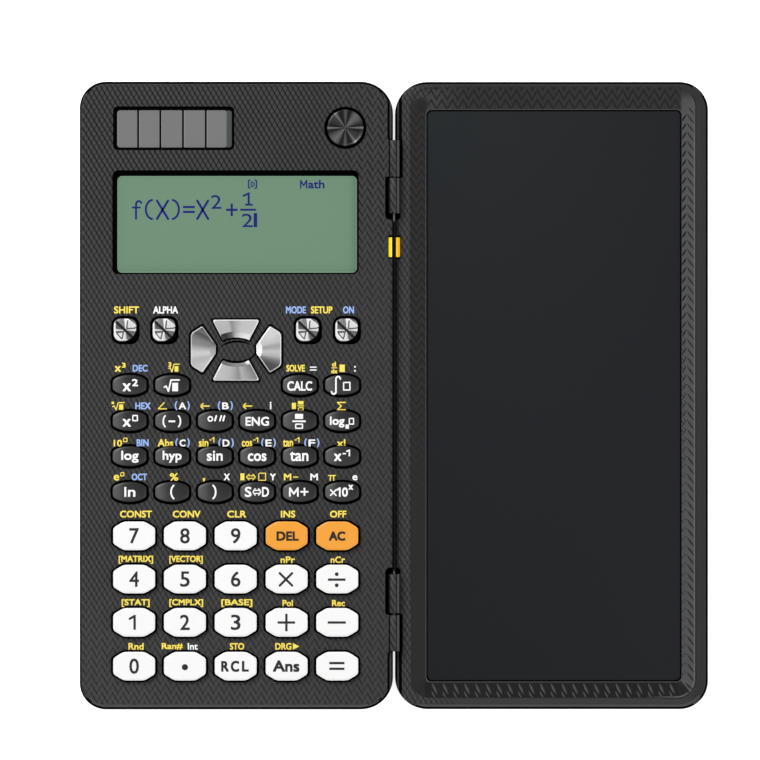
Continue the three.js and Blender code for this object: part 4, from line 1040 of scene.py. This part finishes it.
# navigation lobes
for bodyname, names in (("navigation_left_right", ("left", "right")), ("navigation_up_down", ("up", "down"))):
    node = "dpad_left_right_rocker" if "left" in names else "dpad_up_down_rocker"
    z0 = 6.5 if "left" in names else 5.4
    first = None
    for nm in names:
        i_ = 0.28 if "left" in names else 0.16
        rings = [(lobe_outlines(i_ + d_)[nm], z_) for d_, z_ in ((0, z0), (0, 9.2), (0, PAD_TOP - 0.3), (0.06, PAD_TOP - 0.12), (0.17, PAD_TOP - 0.03), (0.27, PAD_TOP))]
        ob = loft("pad_" + nm, rings, [MATS["pad"]], angle=40)
        el = lambda a, b, z: ([(a * math.cos(2 * math.pi * k / 96), 0.33 + b * math.sin(2 * math.pi * k / 96)) for k in range(96)], z)
        boolean(ob, [loft_data([el(5.2, 2.95, PAD_TOP - 0.45), el(5.4, 3.15, PAD_TOP - 0.42), el(5.9, 3.62, PAD_TOP - 0.26), el(7.0, 4.68, PAD_TOP - 0.002), el(7.15, 4.83, PAD_TOP + 0.2), el(7.15, 4.83, PAD_TOP + 1)])])
        ob.data.materials.clear()
        for mk in ("pad", "black", "pad_rim", "pad_bevel", "edge"): ob.data.materials.append(MATS[mk])
        # material 1 below the top is the dark colour painted as shade, 4 painted shade on the lower bevel, 2 and 3
        # carry painted reflections
        def lobe_rule(x, y, z, n):
            if z < 9.25: return 1
            e = math.hypot(x / 7.03, (y - 0.33) / 4.71)
            if e < 0.995 and n.z > 0.3: return 3 if z > PAD_TOP - 0.425 else 4
            if z > PAD_TOP - 0.31 and z < PAD_TOP - 0.004: return 2
            return 0
        assign(ob, lobe_rule)
        shade(ob, 40)
        ob.location = (PAD[0] * MM, PAD[1] * MM, 0)
        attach(ob, bodyname)
        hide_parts(node)
    sec = [(-8, -1.6), (8, -1.6), (8, 1.6), (-8, 1.6)] if "left" in names else [(-2.2, -5.5), (2.2, -5.5), (2.2, 5.5), (-2.2, 5.5)]
    v, f = loft_data([(rounded(sec, 0.6, 4), z0), (rounded(sec, 0.6, 4), z0 + 0.5), (grow(rounded(sec, 0.6, 4), -0.1), z0 + 0.6)])
    br = build("pad_bridge_" + names[0], v, f, [MATS["black"]]); br.location = (PAD[0] * MM, PAD[1] * MM, 0)
    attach(br, bodyname)

# erase button
def er_outline(d): return [((4.86 - d) * math.cos(2 * math.pi * (k + .5) / 96), (4.86 - d) * math.sin(2 * math.pi * (k + .5) / 96)) for k in range(96)]
er_fl = [(q[0] / 4.86 * 5.85, q[1] / 4.86 * 5.85) for q in er_outline(0)]
er = cap("erase_cap_disc", ERASE, [(er_fl, 6.7), (er_fl, 7.6), (er_outline(0), 7.6)], er_outline, [(0.0, 0.3), (0.05, 0.12), (0.16, 0.02), (0.26, 0.0), (0.36, 0.06)], 9.9, [MATS["erase"]], lambda x, y: 0.05 * (1 - (x * x + y * y) / 23.6))
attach(er, "erase_cap"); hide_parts("erase_button")

# ================================================================== lettering on the keys
def on_key(name, marks, mat):
    pos, z, body, slot_ = KEY_SURF[name]
    if marks: prints(f"legend_{name}_{mat}", marks, z, mat, body, pos)

def digit(d, cx, cy, w=9.6, h=15.4):
    return word(d, cx - w / 2, cx + w / 2, cy - h / 2, cy + h / 2, 0.02)

def kx(x): return x / S + 394.0
def ky(y): return 395.3 - y / S
for r in range(4):
    for c in range(3):
        n = NUM_NAMES[r][c]
        if n.isdigit():
            cx, cy = kx(NUM_X[c]), ky(NUM_Y[r])
            on_key(n, [one(cx - 4.4, cx + 3.0, cy - 7.4, cy + 7.4, 2.3) if n == "1" else digit(n, cx, cy)], "ink")
on_key("point", [blob(kx(NUM_X[1]), ky(NUM_Y[3]) + 1, 3.1)], "ink")
on_key("recall", [word("R", 221.5, 229.2, 660.3, 670.9, 0.04), word("C", 231, 239.4, 660.0, 671.2, 0.04), word("L", 242.2, 249, 660.3, 670.9, 0.04)], "ink")
on_key("answer", [word("Ans", 273, 299.6, 659.6, 671.2, 0.04)], "ink")
on_key("equals", [bar(329.4, 344.5, 661.2, 663.5), bar(329.4, 344.5, 666.9, 669.2)], "ink")
on_key("delete", [word("DEL", 276.7, 298.9, 530.9, 540.3, 0.04)], "ink_orange")
on_key("all_clear", [word("AC", 329, 345.4, 530.9, 540.3, 0.04)], "ink_orange")
on_key("multiply", [pen([(279.9, 572.6), (292.3, 585)], 2.3), pen([(292.3, 572.6), (279.9, 585)], 2.3)], "ink")
on_key("divide", [bar(328.1, 345.5, 577.9, 580.2), blob(336.8, 573.6, 1.9), blob(336.8, 584.7, 1.9)], "ink")
on_key("plus", [bar(277.8, 295.2, 620.7, 623.0), bar(285.4, 287.7, 613.2, 630.6)], "ink")
on_key("minus", [bar(327.8, 345.9, 620.7, 623.0)], "ink")

B = 0.024
on_key("square", [word("x", 123, 131.4, 383, 391, B), word("2", 132.4, 138.4, 378.8, 386, B)], "white")
on_key("root", [pen([(164.6, 387), (166.4, 385.8), (168.8, 391), (171.4, 379.8), (179.6, 379.8)], 1.5), bar(172.6, 178.4, 382.6, 391)], "white")
on_key("calc", [word("CALC", 287.4, 312.3, 381, 390.6, B)], "white")
on_key("integral", [pen(arc(338.2, 378.8, 2.2, 2.4, 0, 180, 6) + [(336, 390.6)] + arc(333.8, 391.4, 2.2, 2.4, 0, -180, 6), 1.6), frame_box(343, 350.6, 381.6, 390.4, 1.3)], "white")
on_key("power", [word("x", 123, 131.4, 418.6, 426.4, B), frame_box(132.6, 138.4, 414.6, 421, 1.3)], "white")
on_key("negative", [pen(arc(167, 421, 3.4, 6, 115, 245, 8), 1.5), bar(168.8, 175.6, 420.2, 421.9), pen(arc(177.4, 421, 3.4, 6, -65, 65, 8), 1.5)], "white")
on_key("degrees", [pen(arc(210.6, 418.6, 2.2, 2.2, 0, 345, 12), 1.4, True), pen([(216.6, 415.6), (215.2, 420.4)], 1.6), pen([(221.6, 415.6), (220.2, 420.4)], 1.6), pen([(224.8, 415.6), (223.4, 420.4)], 1.6)], "white")
on_key("engineering", [word("ENG", 245.8, 269.2, 416.5, 425.6, B)], "white")
on_key("fraction", [bar(295.2, 303.2, 413.6, 418.6), bar(292.6, 305.8, 420.2, 421.8), frame_box(295.2, 303.2, 423.2, 428.6, 1.3)], "white")
on_key("log_base", [word("log", 330, 344.6, 416.2, 427.2, B), bar(345.6, 349.0, 424.2, 428.4), frame_box(348.8, 354.2, 417.6, 424.4, 1.2)], "white")
on_key("log", [word("log", 121.7, 139, 450.4, 462.4, B)], "white")
on_key("hyperbolic", [word("hyp", 163, 182, 450.4, 462.4, B)], "white")
on_key("sine", [word("sin", 207, 223, 450.4, 460.6, B)], "white")
on_key("cosine", [word("cos", 248, 266.6, 453.0, 460.8, B)], "white")
on_key("tangent", [word("tan", 290, 308.5, 451.2, 460.8, B)], "white")
on_key("reciprocal", [word("x", 334, 341.6, 453.2, 460.8, B), bar(342.8, 346.0, 452.6, 454.0), one(346.8, 350.8, 449.2, 456, 1.4)], "white")
on_key("natural_log", [bar(124.8, 126.7, 486.6, 496.4), word("n", 128.4, 135.8, 489.4, 496.4, B)], "white")
on_key("open_bracket", [pen(arc(176.0, 491.6, 4.6, 7.2, 115, 245, 8), 1.7)], "white")
on_key("close_bracket", [pen(arc(211.4, 491.6, 4.6, 7.2, -65, 65, 8), 1.7)], "white")
on_key("convert", [word("S", 245, 251.8, 486.4, 496.6, B), word("D", 262.2, 269.2, 486.6, 496.4, B), pen([(254, 490), (260.2, 490)], 1.1), pen([(254, 493), (260.2, 493)], 1.1), pen([(255.4, 488.2), (253.2, 491.5), (255.4, 494.8)], 1.1), pen([(258.8, 488.2), (261.0, 491.5), (258.8, 494.8)], 1.1)], "white")
on_key("memory_plus", [pen([(290.0, 495.6), (290.0, 487.6), (294.0, 493.4), (298.0, 487.6), (298.0, 495.6)], 1.7), bar(300.6, 308.6, 490.6, 492.2), bar(303.8, 305.4, 487.4, 495.4)], "white")
on_key("exponent", [pen([(330.6, 489.4), (336.2, 495)], 1.4), pen([(336.2, 489.4), (330.6, 495)], 1.4), one(337.2, 341.2, 487.0, 496.4, 1.7), word("0", 342, 348.0, 487.0, 496.4, B), word("x", 348.4, 353.2, 484.4, 489.4, B)], "white")

# ================================================================== lettering on the housing
Y, W, L = [], [], []
Y += [word("SHIFT", 114.4, 139.4, 306.2, 313.4, 0.02)]
W += [word("ALPHA", 153.4, 178.3, 306.2, 313.4, 0.02)]
L += [word("MODE", 286, 306, 306.2, 313.4, 0.02), word("ON", 343, 354, 306.2, 313.4, 0.02)]
Y += [word("SETUP", 311, 332.5, 306.2, 313.4, 0.02)]
# row 1
Y += [word("x", 115, 121.4, 365.8, 371.6, 0.02), word("3", 122.2, 126, 362.6, 367.6, 0.02)]
L += [word("DEC", 133, 148, 364.6, 371.4, 0.02)]
Y += [word("3", 168.6, 171.6, 362.0, 366.6, 0.02), pen([(169.0, 368.2), (170.4, 367.4), (172.2, 371.6), (174.4, 364.0), (179.6, 364.0)], 1.0), bar(174.9, 178.6, 366.0, 371.4)]
Y += [word("SOLVE", 286.5, 305, 364.6, 371.4, 0.02)]; W += [bar(310, 316.6, 366.4, 367.6), bar(310, 316.6, 369.2, 370.4)]
Y += [word("d", 332, 336, 361.6, 366.4, 0.02), bar(331.4, 337.2, 367.2, 368.1), word("dx", 331.2, 337.6, 368.8, 373.2, 0.02), bar(339.6, 344.8, 364.4, 371.8)]
W += [blob(355, 366.6, 0.9), blob(355, 370.6, 0.9)]
# row 2
Y += [pen([(113.0, 406.4), (114.4, 405.6), (116.4, 409.6), (118.6, 402.4), (124.6, 402.4)], 1.0), bar(119.4, 123.6, 404.2, 409.6), bar(112.0, 114.4, 401.4, 403.8)]
L += [word("HEX", 135.6, 151, 402.2, 409, 0.02), word("(", 175, 177.6, 401, 410, 0.02), word(")", 187.6, 190, 401, 410, 0.02)]; W += [word("A", 179, 186.4, 402.2, 409, 0.02)]
Y += [pen([(164.4, 402.4), (158.6, 408.6), (166.8, 408.6)], 1.1)]
for x0, x1 in ((200.5, 209.5), (243, 252)):
    Y.append(pen([(x1, 405.8), (x0, 405.8)], 1.2)); Y.append(pen([(x0 + 2.8, 403.4), (x0, 405.8), (x0 + 2.8, 408.2)], 1.2))
L += [word("(", 218, 220.6, 401, 410, 0.02), word(")", 230.6, 233, 401, 410, 0.02)]; W += [word("B", 222.4, 229, 402.2, 409, 0.02)]
W += [word("i", 270, 271.6, 401.6, 409, 0.02)]
Y += [bar(292, 296, 402.6, 408.8), bar(298, 303.6, 400.8, 404.2), bar(297.6, 304.2, 405.2, 406.1), frame_box(298, 303.6, 407, 410.6, 0.9)]
Y += [pen([(345.4, 402.2), (337.6, 402.2), (341.4, 405.8), (337.6, 409.4), (345.4, 409.4)], 1.2)]
# row 3
Y += [word("10", 114, 122.4, 439.4, 446.2, 0.02), frame_box(123.4, 127.8, 437.4, 441.8, 0.9)]
L += [word("BIN", 137, 149, 439.0, 446.0, 0.02)]
Y += [word("Abs", 158, 173.6, 438.8, 446.4, 0.02), word("sin", 199, 208.6, 438.8, 446.4, 0.02), word("cos", 242, 252.4, 440.6, 446.4, 0.02), word("tan", 283, 293.2, 439.4, 446.4, 0.02), word("x!", 337, 345.6, 438.8, 446.4, 0.02)]
for x0 in (209.6, 253.4, 294.6): Y += [bar(x0, x0 + 2.4, 439.2, 440.1), one(x0 + 2.8, x0 + 5.4, 437.0, 442.2, 1.0)]
for a, b, t in ((175.6, 190, "C"), (218.6, 234, "D"), (261.4, 276, "E"), (304.4, 319.5, "F")):
    L += [word("(", a, a + 2.6, 438, 447, 0.02), word(")", b - 2.6, b, 438, 447, 0.02)]; W += [word(t, a + 4.2, b - 4.2, 439.2, 446.2, 0.02)]
# row 4
Y += [word("e", 114, 119.6, 474.4, 480.2, 0.02), frame_box(120.6, 124.6, 471.8, 476, 0.9)]
L += [word("OCT", 132, 147.4, 473.2, 480.0, 0.02)]
Y += [word("%", 170, 178.6, 472.8, 480.4, 0.02), word(",", 203, 205.4, 477.6, 481.2, 0.02)]
W += [word("X", 224, 230, 473.2, 480, 0.02), word("Y", 270, 276, 473.2, 480, 0.02), word("M", 310.4, 318, 473.2, 480, 0.02), word("e", 352.5, 357.5, 474.8, 480, 0.02)]
Y += [bar(240.6, 244.6, 473, 480), pen([(247.6, 475.4), (254.6, 475.4)], 0.9), pen([(247.6, 478), (254.6, 478)], 0.9), pen([(249.2, 473.8), (246.6, 476.7), (249.2, 479.6)], 0.9), pen([(253, 473.8), (255.6, 476.7), (253, 479.6)], 0.9), frame_box(258.4, 266.2, 472.4, 480.4, 0.9)]
Y += [word("M", 284, 291.4, 473.2, 480, 0.02), bar(293.2, 298.4, 476.2, 477.3), pen([(328.6, 475.2), (335.4, 475.2)], 1.1), pen([(330.6, 475.2), (330.2, 480)], 1.1), pen([(333.6, 475.2), (333.8, 480)], 1.1)]
# number rows
Y += [word("CONST", 120.3, 152.2, 510.2, 517.2, 0.02), word("CONV", 173, 200.8, 510.2, 517.2, 0.02), word("CLR", 227.4, 246.4, 510.2, 517.2, 0.02), word("INS", 281, 295.4, 510.2, 517.2, 0.02), word("OFF", 330, 346.4, 510.2, 517.2, 0.02)]
Y += [word("[MATRIX]", 119, 153.4, 555.2, 563.4, 0.02), word("[VECTOR]", 169.6, 203, 555.2, 563.4, 0.02), word("nPr", 280.7, 295, 556, 562.6, 0.02), word("nCr", 330.7, 345, 556, 562.6, 0.02)]
Y += [word("[STAT]", 122, 150, 598.6, 606.6, 0.02), word("[CMPLX]", 169.6, 203.4, 598.6, 606.6, 0.02), word("[BASE]", 221.5, 252.5, 598.6, 606.6, 0.02), word("Pol", 282.6, 293, 599.4, 605.8, 0.02), word("Rec", 332, 345, 599.4, 605.8, 0.02)]
Y += [word("Rnd", 128.8, 144, 642.4, 649.2, 0.02), word("Ran#", 162, 183, 642.4, 649.2, 0.02), word("STO", 230, 244.4, 642.4, 649.2, 0.02), word("DRG", 275.4, 291.6, 642.4, 649.2, 0.02), ([(PX(293), PY(649.2)), (PX(299.4), PY(645.8)), (PX(293), PY(642.4))], [(0, 1, 2)])]
W += [word("Int", 188, 198, 642.4, 649.2, 0.02)]
ZP = CALC_T + 0.012
prints("housing_print_yellow", Y, ZP, "yellow", "calculator")
prints("housing_print_white", W, ZP, "white", "calculator")
prints("housing_print_blue", L, ZP, "blue", "calculator")

# ================================================================== tablet half
tab = loft("tablet_body", [(grow(tab_outline, -0.8), 0), (grow(tab_outline, -0.5), 0.08), (grow(tab_outline, -0.25), 0.3), (tab_outline, 0.9)] + edge_profile(tab_outline, TAB_T), [MATS["tablet"]])
boolean(tab, [shoulder(1, SHOULDER_TAB, TAB_T, HINGE_ZONE[1], HALF_H + 2), shoulder(1, SHOULDER_TAB, TAB_T, -HALF_H - 2, HINGE_ZONE[0])])
boolean(tab, [boxd(-1, MID_X - 0.1, HINGE_ZONE[0], HINGE_ZONE[1], -1, TAB_T + 1)])
for a, b in KNUCKLES_CALC:
    n1, n2 = notch(1, TAB_T, a - KNUCKLE_GAP, b + KNUCKLE_GAP)
    boolean(tab, [n1])
    boolean(tab, [n2])
    boolean(tab, [loft_data([(rrect(-1.0, 2.28, a - KNUCKLE_GAP + 0.02, b + KNUCKLE_GAP - 0.02, [0.5, 0.1, 0.1, 0.5], 8), z) for z in (5.2, TAB_T + 1)])])
slope_top = rrect(*SLOPE, 5.0, 12)
slope_low = rrect(PANEL[0] - 0.5, PANEL[1] + 0.5, PANEL[2] - 0.5, PANEL[3] + 0.5, 1.6, 12)
boolean(tab, [loft_data([(grow(slope_low, 0.0), 4.7), (slope_top, TAB_T), (grow(slope_top, 0.05), TAB_T + 1)])])
pocket = rrect(PANEL[0] - 0.3, PANEL[1] + 0.3, PANEL[2] - 0.3, PANEL[3] + 0.3, 1.4, 8)
boolean(tab, [loft_data([(pocket, 2.3), (pocket, TAB_T + 1)])])
for a, b in KNUCKLES_TAB:
    lo_, hi_ = (a - 1.75, a + 0.1) if a > 0 else (b - 0.1, b + 1.75)
    boolean(tab, [loft_data([(rrect(-1.0, 1.76, lo_, hi_, [1.1 if a < 0 else 0.05, 0.1, 0.1, 1.1 if a > 0 else 0.05], 8), z) for z in (3.6, TAB_T + 1)])])
boolean(tab, [boxd(-1, 1.75, RIBBON_Y[0] - 0.45, RIBBON_Y[1] + 0.45, 2.7, TAB_T + 1)])
boolean(tab, [boxd(1.0, 9.5, RIBBON_Y[0] - 0.45, RIBBON_Y[1] + 0.45, 2.7, 3.6)])
tab.data.materials.clear()
for k in ("tablet", "plain", "black", "edge", "line"): tab.data.materials.append(MATS[k])
# materials: 2 painted shade under the writing film and in the hinge gap, 3 painted shade on the hinge walls and the
# rounded edge, 4 painted highlight lines along the near edge, the film's lip and the hinge shoulder
def tab_rule(x, y, z, n):
    if z > TAB_T - 0.003 and near_edge(x, y, END_X, HALF_W, R_OUT_TAB): return 4
    if z < 0.25 or n.z < -0.9: return 1
    if 8.4 < x < 76.8 and -76.4 < y < 76.3 and z < 4.69: return 2
    if abs(z - 4.7) < 0.02 and n.z > 0.9 and x > 8: return 4
    if x < 2.18 and abs(y) > 68.2 and n.z > -0.2:
        if 0.84 < x < 1.32 and n.z > 0.9 and abs(y) < 76.5: return 4
        return 3
    if x < 2.34 and abs(y) < 68.6: return 2 if z < TAB_T - 0.6 or n.z < 0.3 else 0
    if z > TAB_T - 0.83 and n.z > 0.05 and (x < 2.4 or x > 81.5 or abs(y) > 82.2): return rim_rule(z, n, TAB_T)
    if z > 4.68 and n.z > 0.2 and x > 1.5: return 0
    return 1
assign(tab, tab_rule)
shade(tab, 30)
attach(tab, "tablet"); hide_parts("tablet_shell")
for k, (a, b) in enumerate(KNUCKLES_TAB):
    knuckle(f"tablet_knuckle_{k + 1}", a, b, boxd(0.2, 1.75, a + 0.02, b - 0.02, TAB_T - 2.0, AXIS_Z), [MATS["knuckle"]], "tablet")

def leaf(x0, y0, x1, y1, w, lean, zf, h=0.10, n=9):
    """A slender leaf-shaped rib between two plan points, lying on the sloping band."""
    v, f = [], []
    L = math.hypot(x1 - x0, y1 - y0)
    ux, uy = (x1 - x0) / L, (y1 - y0) / L
    for k in range(n):
        t = k / (n - 1)
        g = math.sin(math.pi * t) ** 0.7
        cx, cy = x0 + (x1 - x0) * t, y0 + (y1 - y0) * t
        ww = w / 2 * max(g, 0.06)
        for sgn, up in ((-1, 0.0), (lean, 1.0), (1, 0.0)):
            X, Y = PX(cx - uy * ww * sgn), PY(cy + ux * ww * sgn)
            v.append((X, Y, zf(X, Y) + (h * g if up else -0.02)))
        X, Y = PX(cx), PY(cy)
        v.append((X, Y, zf(X, Y) - 0.12))
    for k in range(n - 1):
        for i in range(4):
            a, b = k * 4 + i, k * 4 + (i + 1) % 4
            f.append((a, b, b + 4, a + 4))
    f += [(3, 2, 1, 0), tuple((n - 1) * 4 + i for i in range(4))]
    return v, f
def z_right(X, Y): return 4.7 + max(0.0, min(1.0, (X - 76.8) / 3.4)) * 1.9
def z_bottom(X, Y): return 4.7 + max(0.0, min(1.0, (-76.4 - Y) / 4.1)) * 1.9
ribs_dark, ribs_light, ribs_left = [], [], []
y = 104.0
while y < 677:
    up = max(0.0, min(1.0, (470 - y) / 200.0))
    ribs_dark.append(leaf(686.9, y, 694.2, y + 10.6, 2.5, 0.2, z_right))
    if up > 0.05: ribs_left.append(leaf(686.4, y + 0.6, 681.9, y + 8.2, 1.9 * up + 0.4, -0.2, z_right))
    if up < 0.75:
        ribs_left.append(leaf(681.8, y + 1.2, 683.6, y + 4.6, 1.3, 0.2, z_right, 0.06, 5))
        ribs_left.append(leaf(683.9, y - 1.2, 686.2, y + 2.6, 1.2, 0.2, z_right, 0.06, 5))
    y += 9.0
def z_corner(X, Y):
    qx = max(0.0, abs(X - (SLOPE[0] + SLOPE[1]) / 2) - ((SLOPE[1] - SLOPE[0]) / 2 - 5.0))
    qy = max(0.0, abs(Y - (SLOPE[2] + SLOPE[3]) / 2) - ((SLOPE[3] - SLOPE[2]) / 2 - 5.0))
    return 4.76 + 1.9 * max(0.0, min(1.0, 1 + (math.hypot(qx, qy) - 5.0) / 3.75))
for x0, y0, x1, y1, w_ in ((685.2, 682.0, 692.2, 689.2, 2.0), (683.0, 684.6, 688.6, 692.6, 2.0), (680.4, 685.2, 684.6, 694.6, 1.7)):
    ribs_dark.append(leaf(x0, y0, x1, y1, w_, 0.2, z_corner))
x = 432.0
while x < 674:
    if x > 424: ribs_light.append(leaf(x, 682.6, x + 5.6, 694.2, 2.7, 0.2, z_bottom))
    ribs_light.append(leaf(x - 0.6, 690.6, x + 3.6, 698.2, 2.1, 0.2, z_bottom, 0.08, 7))
    x += 10.8
for nm, parts, mk in (("band_ribs_right", ribs_dark + ribs_left, "rib_dark"), ("band_ribs_bottom", ribs_light, "rib_light")):
    v, f = merged(parts)
    q = build(nm, v, f, [MATS[mk]], None, 25)
    bm = bmesh.new(); bm.from_mesh(q.data); bmesh.ops.recalc_face_normals(bm, faces=bm.faces); bm.to_mesh(q.data); bm.free()
    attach(q, "tablet")

panel_out = rrect(*PANEL, 1.3, 8)
pan = loft("writing_film", [(panel_out, 2.6), (panel_out, 4.08), (grow(panel_out, -0.04), 4.16), (grow(panel_out, -0.14), 4.2)], [MATS["film"]])
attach(pan, "tablet"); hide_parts("writing_panel")

# ================================================================== ribbon
spine = [(-5.6, 5.75), (-3.9, 5.75), (-2.2, 5.75), (-1.6, 5.86), (-1.15, 5.95), (-0.8, 5.9), (-0.45, 5.7), (-0.3, 5.2), (-0.2, 4.6), (-0.12, 4.35), (0.0, 4.25), (0.12, 4.35), (0.2, 4.6), (0.3, 5.05), (0.45, 5.35), (0.7, 5.5), (0.95, 5.5), (1.15, 5.3), (1.25, 5.0), (1.32, 4.3), (1.35, 3.6), (1.48, 3.32), (1.7, 3.2), (2.4, 3.13), (3.2, 3.1), (5.6, 3.1), (8.1, 3.1)]
def side_line(sg):
    out = []
    for i, (x, z) in enumerate(spine):
        (ax, az), (bx, bz) = spine[max(0, i - 1)], spine[min(len(spine) - 1, i + 1)]
        l = math.hypot(bx - ax, bz - az)
        out.append((x - sg * (bz - az) * 0.1 / l, z + sg * (bx - ax) * 0.1 / l))
    return out
v, f = along_y(side_line(-1) + side_line(1)[::-1], RIBBON_Y[0], RIBBON_Y[1])
rib = build("flex_ribbon_strip", v, f, [MATS["ribbon"]])
bm = bmesh.new(); bm.from_mesh(rib.data); bmesh.ops.triangulate(bm, faces=[q for q in bm.faces if len(q.verts) > 4]); bm.to_mesh(rib.data); bm.free()
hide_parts("flex_ribbon")
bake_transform(rib)

# ================================================================== solids shown as they are
for node, mat in (("circuit_board", "board"), ("key_mat", "mat"), ("coin_cell", "steel"), ("hinge_rod", "rod")):
    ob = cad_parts[node]
    ob.data.materials.clear(); ob.data.materials.append(MATS[mat])
    shade(ob, 28)

# ================================================================== back of the calculator half
def ring_cutter(outline, w, z0, z1):
    """Closed ring-shaped cutter along an outline."""
    a, b = grow(outline, w / 2), grow(outline, -w / 2)
    n = len(a)
    v = [(x, y, z) for p_ in (a, b) for z in (z0, z1) for x, y in p_]
    f = []
    for i in range(n):
        j = (i + 1) % n
        f += [(i, j, n + j, n + i), (2 * n + j, 2 * n + i, 3 * n + i, 3 * n + j), (n + i, n + j, 3 * n + j, 3 * n + i), (j, i, 2 * n + i, 2 * n + j)]
    return v, f
back = link("back_shell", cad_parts["back_cover"].data.copy())
back.matrix_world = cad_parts["back_cover"].matrix_world.copy()
door = rrect(-58.5, -29.5, 31.5, 60.5, 2.6, 8)
boolean(back, [ring_cutter(door, 0.34, -0.5, 0.4)])
boolean(back, [loft_data([(rrect(-49.0 - 0.0, -39.0, 56.2, 58.4, 1.05, 8), -0.5), (rrect(-49.0, -39.0, 56.2, 58.4, 1.05, 8), 0.35)])])
boolean(back, [loft_data([(rrect(-50.0 + 2.6 * k, -48.9 + 2.6 * k, 34.0, 40.0, 0.5, 4), -0.5), (rrect(-50.0 + 2.6 * k, -48.9 + 2.6 * k, 34.0, 40.0, 0.5, 4), 0.3)]) for k in range(5)])
back.data.materials.clear()
for k in ("back", "black"): back.data.materials.append(MATS[k])
assign(back, lambda x, y, z, n: 1 if (-60 < x < -28 and 30 < y < 62 and 0.02 < z < 0.45) else 0)
shade(back, 28)
for q_ in back.data.polygons:
    if abs(q_.normal.z) > 0.999 or q_.area > 0.0002: q_.use_smooth = False      # the flat back stays flat up to its rounded edge
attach(back, "calculator"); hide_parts("back_cover")
for k, (x, y) in enumerate([(-77.5, 71), (-24, 73.5), (-79.2, 16.5), (-5.9, 6.5), (-79.2, -73), (-5.9, -73)]):
    ob = loft(f"screw_{k + 1}", [(circle(x, y, 1.2, 40), 0.22), (circle(x, y, 1.45, 40), 0.28), (circle(x, y, 1.52, 40), 0.42), (circle(x, y, 1.52, 40), 0.78)], [MATS["steel"]])
    a = 0.35 + 0.7 * k
    def arm(t, l=1.9, w=0.36):
        c, s_ = math.cos(t), math.sin(t)
        q = [(-l / 2, -w / 2), (l / 2, -w / 2), (l / 2, w / 2), (-l / 2, w / 2)]
        return [(x + px * c - py * s_, y + px * s_ + py * c) for px, py in q]
    boolean(ob, [loft_data([(arm(a), 0.0), (arm(a), 0.55)])])
    boolean(ob, [loft_data([(arm(a + math.pi / 2), 0.0), (arm(a + math.pi / 2), 0.55)])])
    ob.data.materials.clear()
    for mk in ("steel", "black"): ob.data.materials.append(MATS[mk])
    # the cross recess is painted dark as shade
    assign(ob, lambda px, py, z, n: 1 if 0.3 < z < 0.6 and math.hypot(px - x, py - y) < 1.3 else 0)
    shade(ob, 30)
    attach(ob, "calculator")
for k, (x, y) in enumerate([(-68, 64.5), (-17, 64.5), (-68, -64.5), (-17, -64.5)]):
    ob = loft(f"foot_{k + 1}", [(circle(x, y, 3.2, 56), 0.02), (circle(x, y, 3.55, 56), 0.06), (circle(x, y, 3.72, 56), 0.18), (circle(x, y, 3.76, 56), 0.58)], [MATS["rubber"]], angle=50)
    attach(ob, "calculator")

# ================================================================== studio
def ground():
    me = bpy.data.meshes.new("floor")
    me.from_pydata([(-2, -2, -0.00005), (2, -2, -0.00005), (2, 2, -0.00005), (-2, 2, -0.00005)], [], [(0, 1, 2, 3)])
    ob = link("floor", me)
    m = bpy.data.materials.new("floor"); m.use_nodes = True
    b = next(n for n in m.node_tree.nodes if n.type == "BSDF_PRINCIPLED")
    b.inputs["Base Color"].default_value = (0.9, 0.9, 0.9, 1)
    b.inputs["Roughness"].default_value = 0.8
    b.inputs["Specular IOR Level"].default_value = 0.1
    b.inputs["Emission Color"].default_value = (1, 1, 1, 1)
    b.inputs["Emission Strength"].default_value = 0.8
    me.materials.append(m)
    ob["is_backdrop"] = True

def lamp(name, loc, target, size, power, colour=(1, 1, 1)):
    li = bpy.data.lights.new(name, "AREA"); li.shape = "DISK"; li.size = size; li.energy = power; li.color = colour
    ob = link(name, li)
    ob.location = loc
    ob.rotation_euler = (Vector(target) - Vector(loc)).to_track_quat("-Z", "Y").to_euler()
    ob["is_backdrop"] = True

ground()
lamp("key_light", (-0.75, 0.85, 1.1), (0, 0, 0), 0.9, 19.0)
lamp("fill_light", (0.9, -0.5, 1.0), (0, 0, 0), 1.4, 8.0)
world = bpy.data.worlds.new("studio"); bpy.context.scene.world = world; world.use_nodes = True
bg = next(n for n in world.node_tree.nodes if n.type == "BACKGROUND")
bg.inputs[0].default_value = (1, 1, 1, 1); bg.inputs[1].default_value = 0.35

scene = bpy.context.scene
scene.view_settings.view_transform = "Standard"
cam = bpy.data.cameras.new("camera")
cam.sensor_width = 36; cam.lens = 532.6; cam.clip_start = 0.05; cam.clip_end = 20
co = link("camera", cam)
co.location = (-0.00373, 0.00413, 3.0)
co.rotation_euler = (0, 0, 0)
scene.camera = co

LOOK_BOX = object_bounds()
def plain(b):
    if isinstance(b, dict): return {k: plain(x) for k, x in b.items()}
    try: return [plain(x) for x in b]
    except TypeError: return float(b)
{"cad": plain(CAD_BOX), "look": plain(LOOK_BOX)}
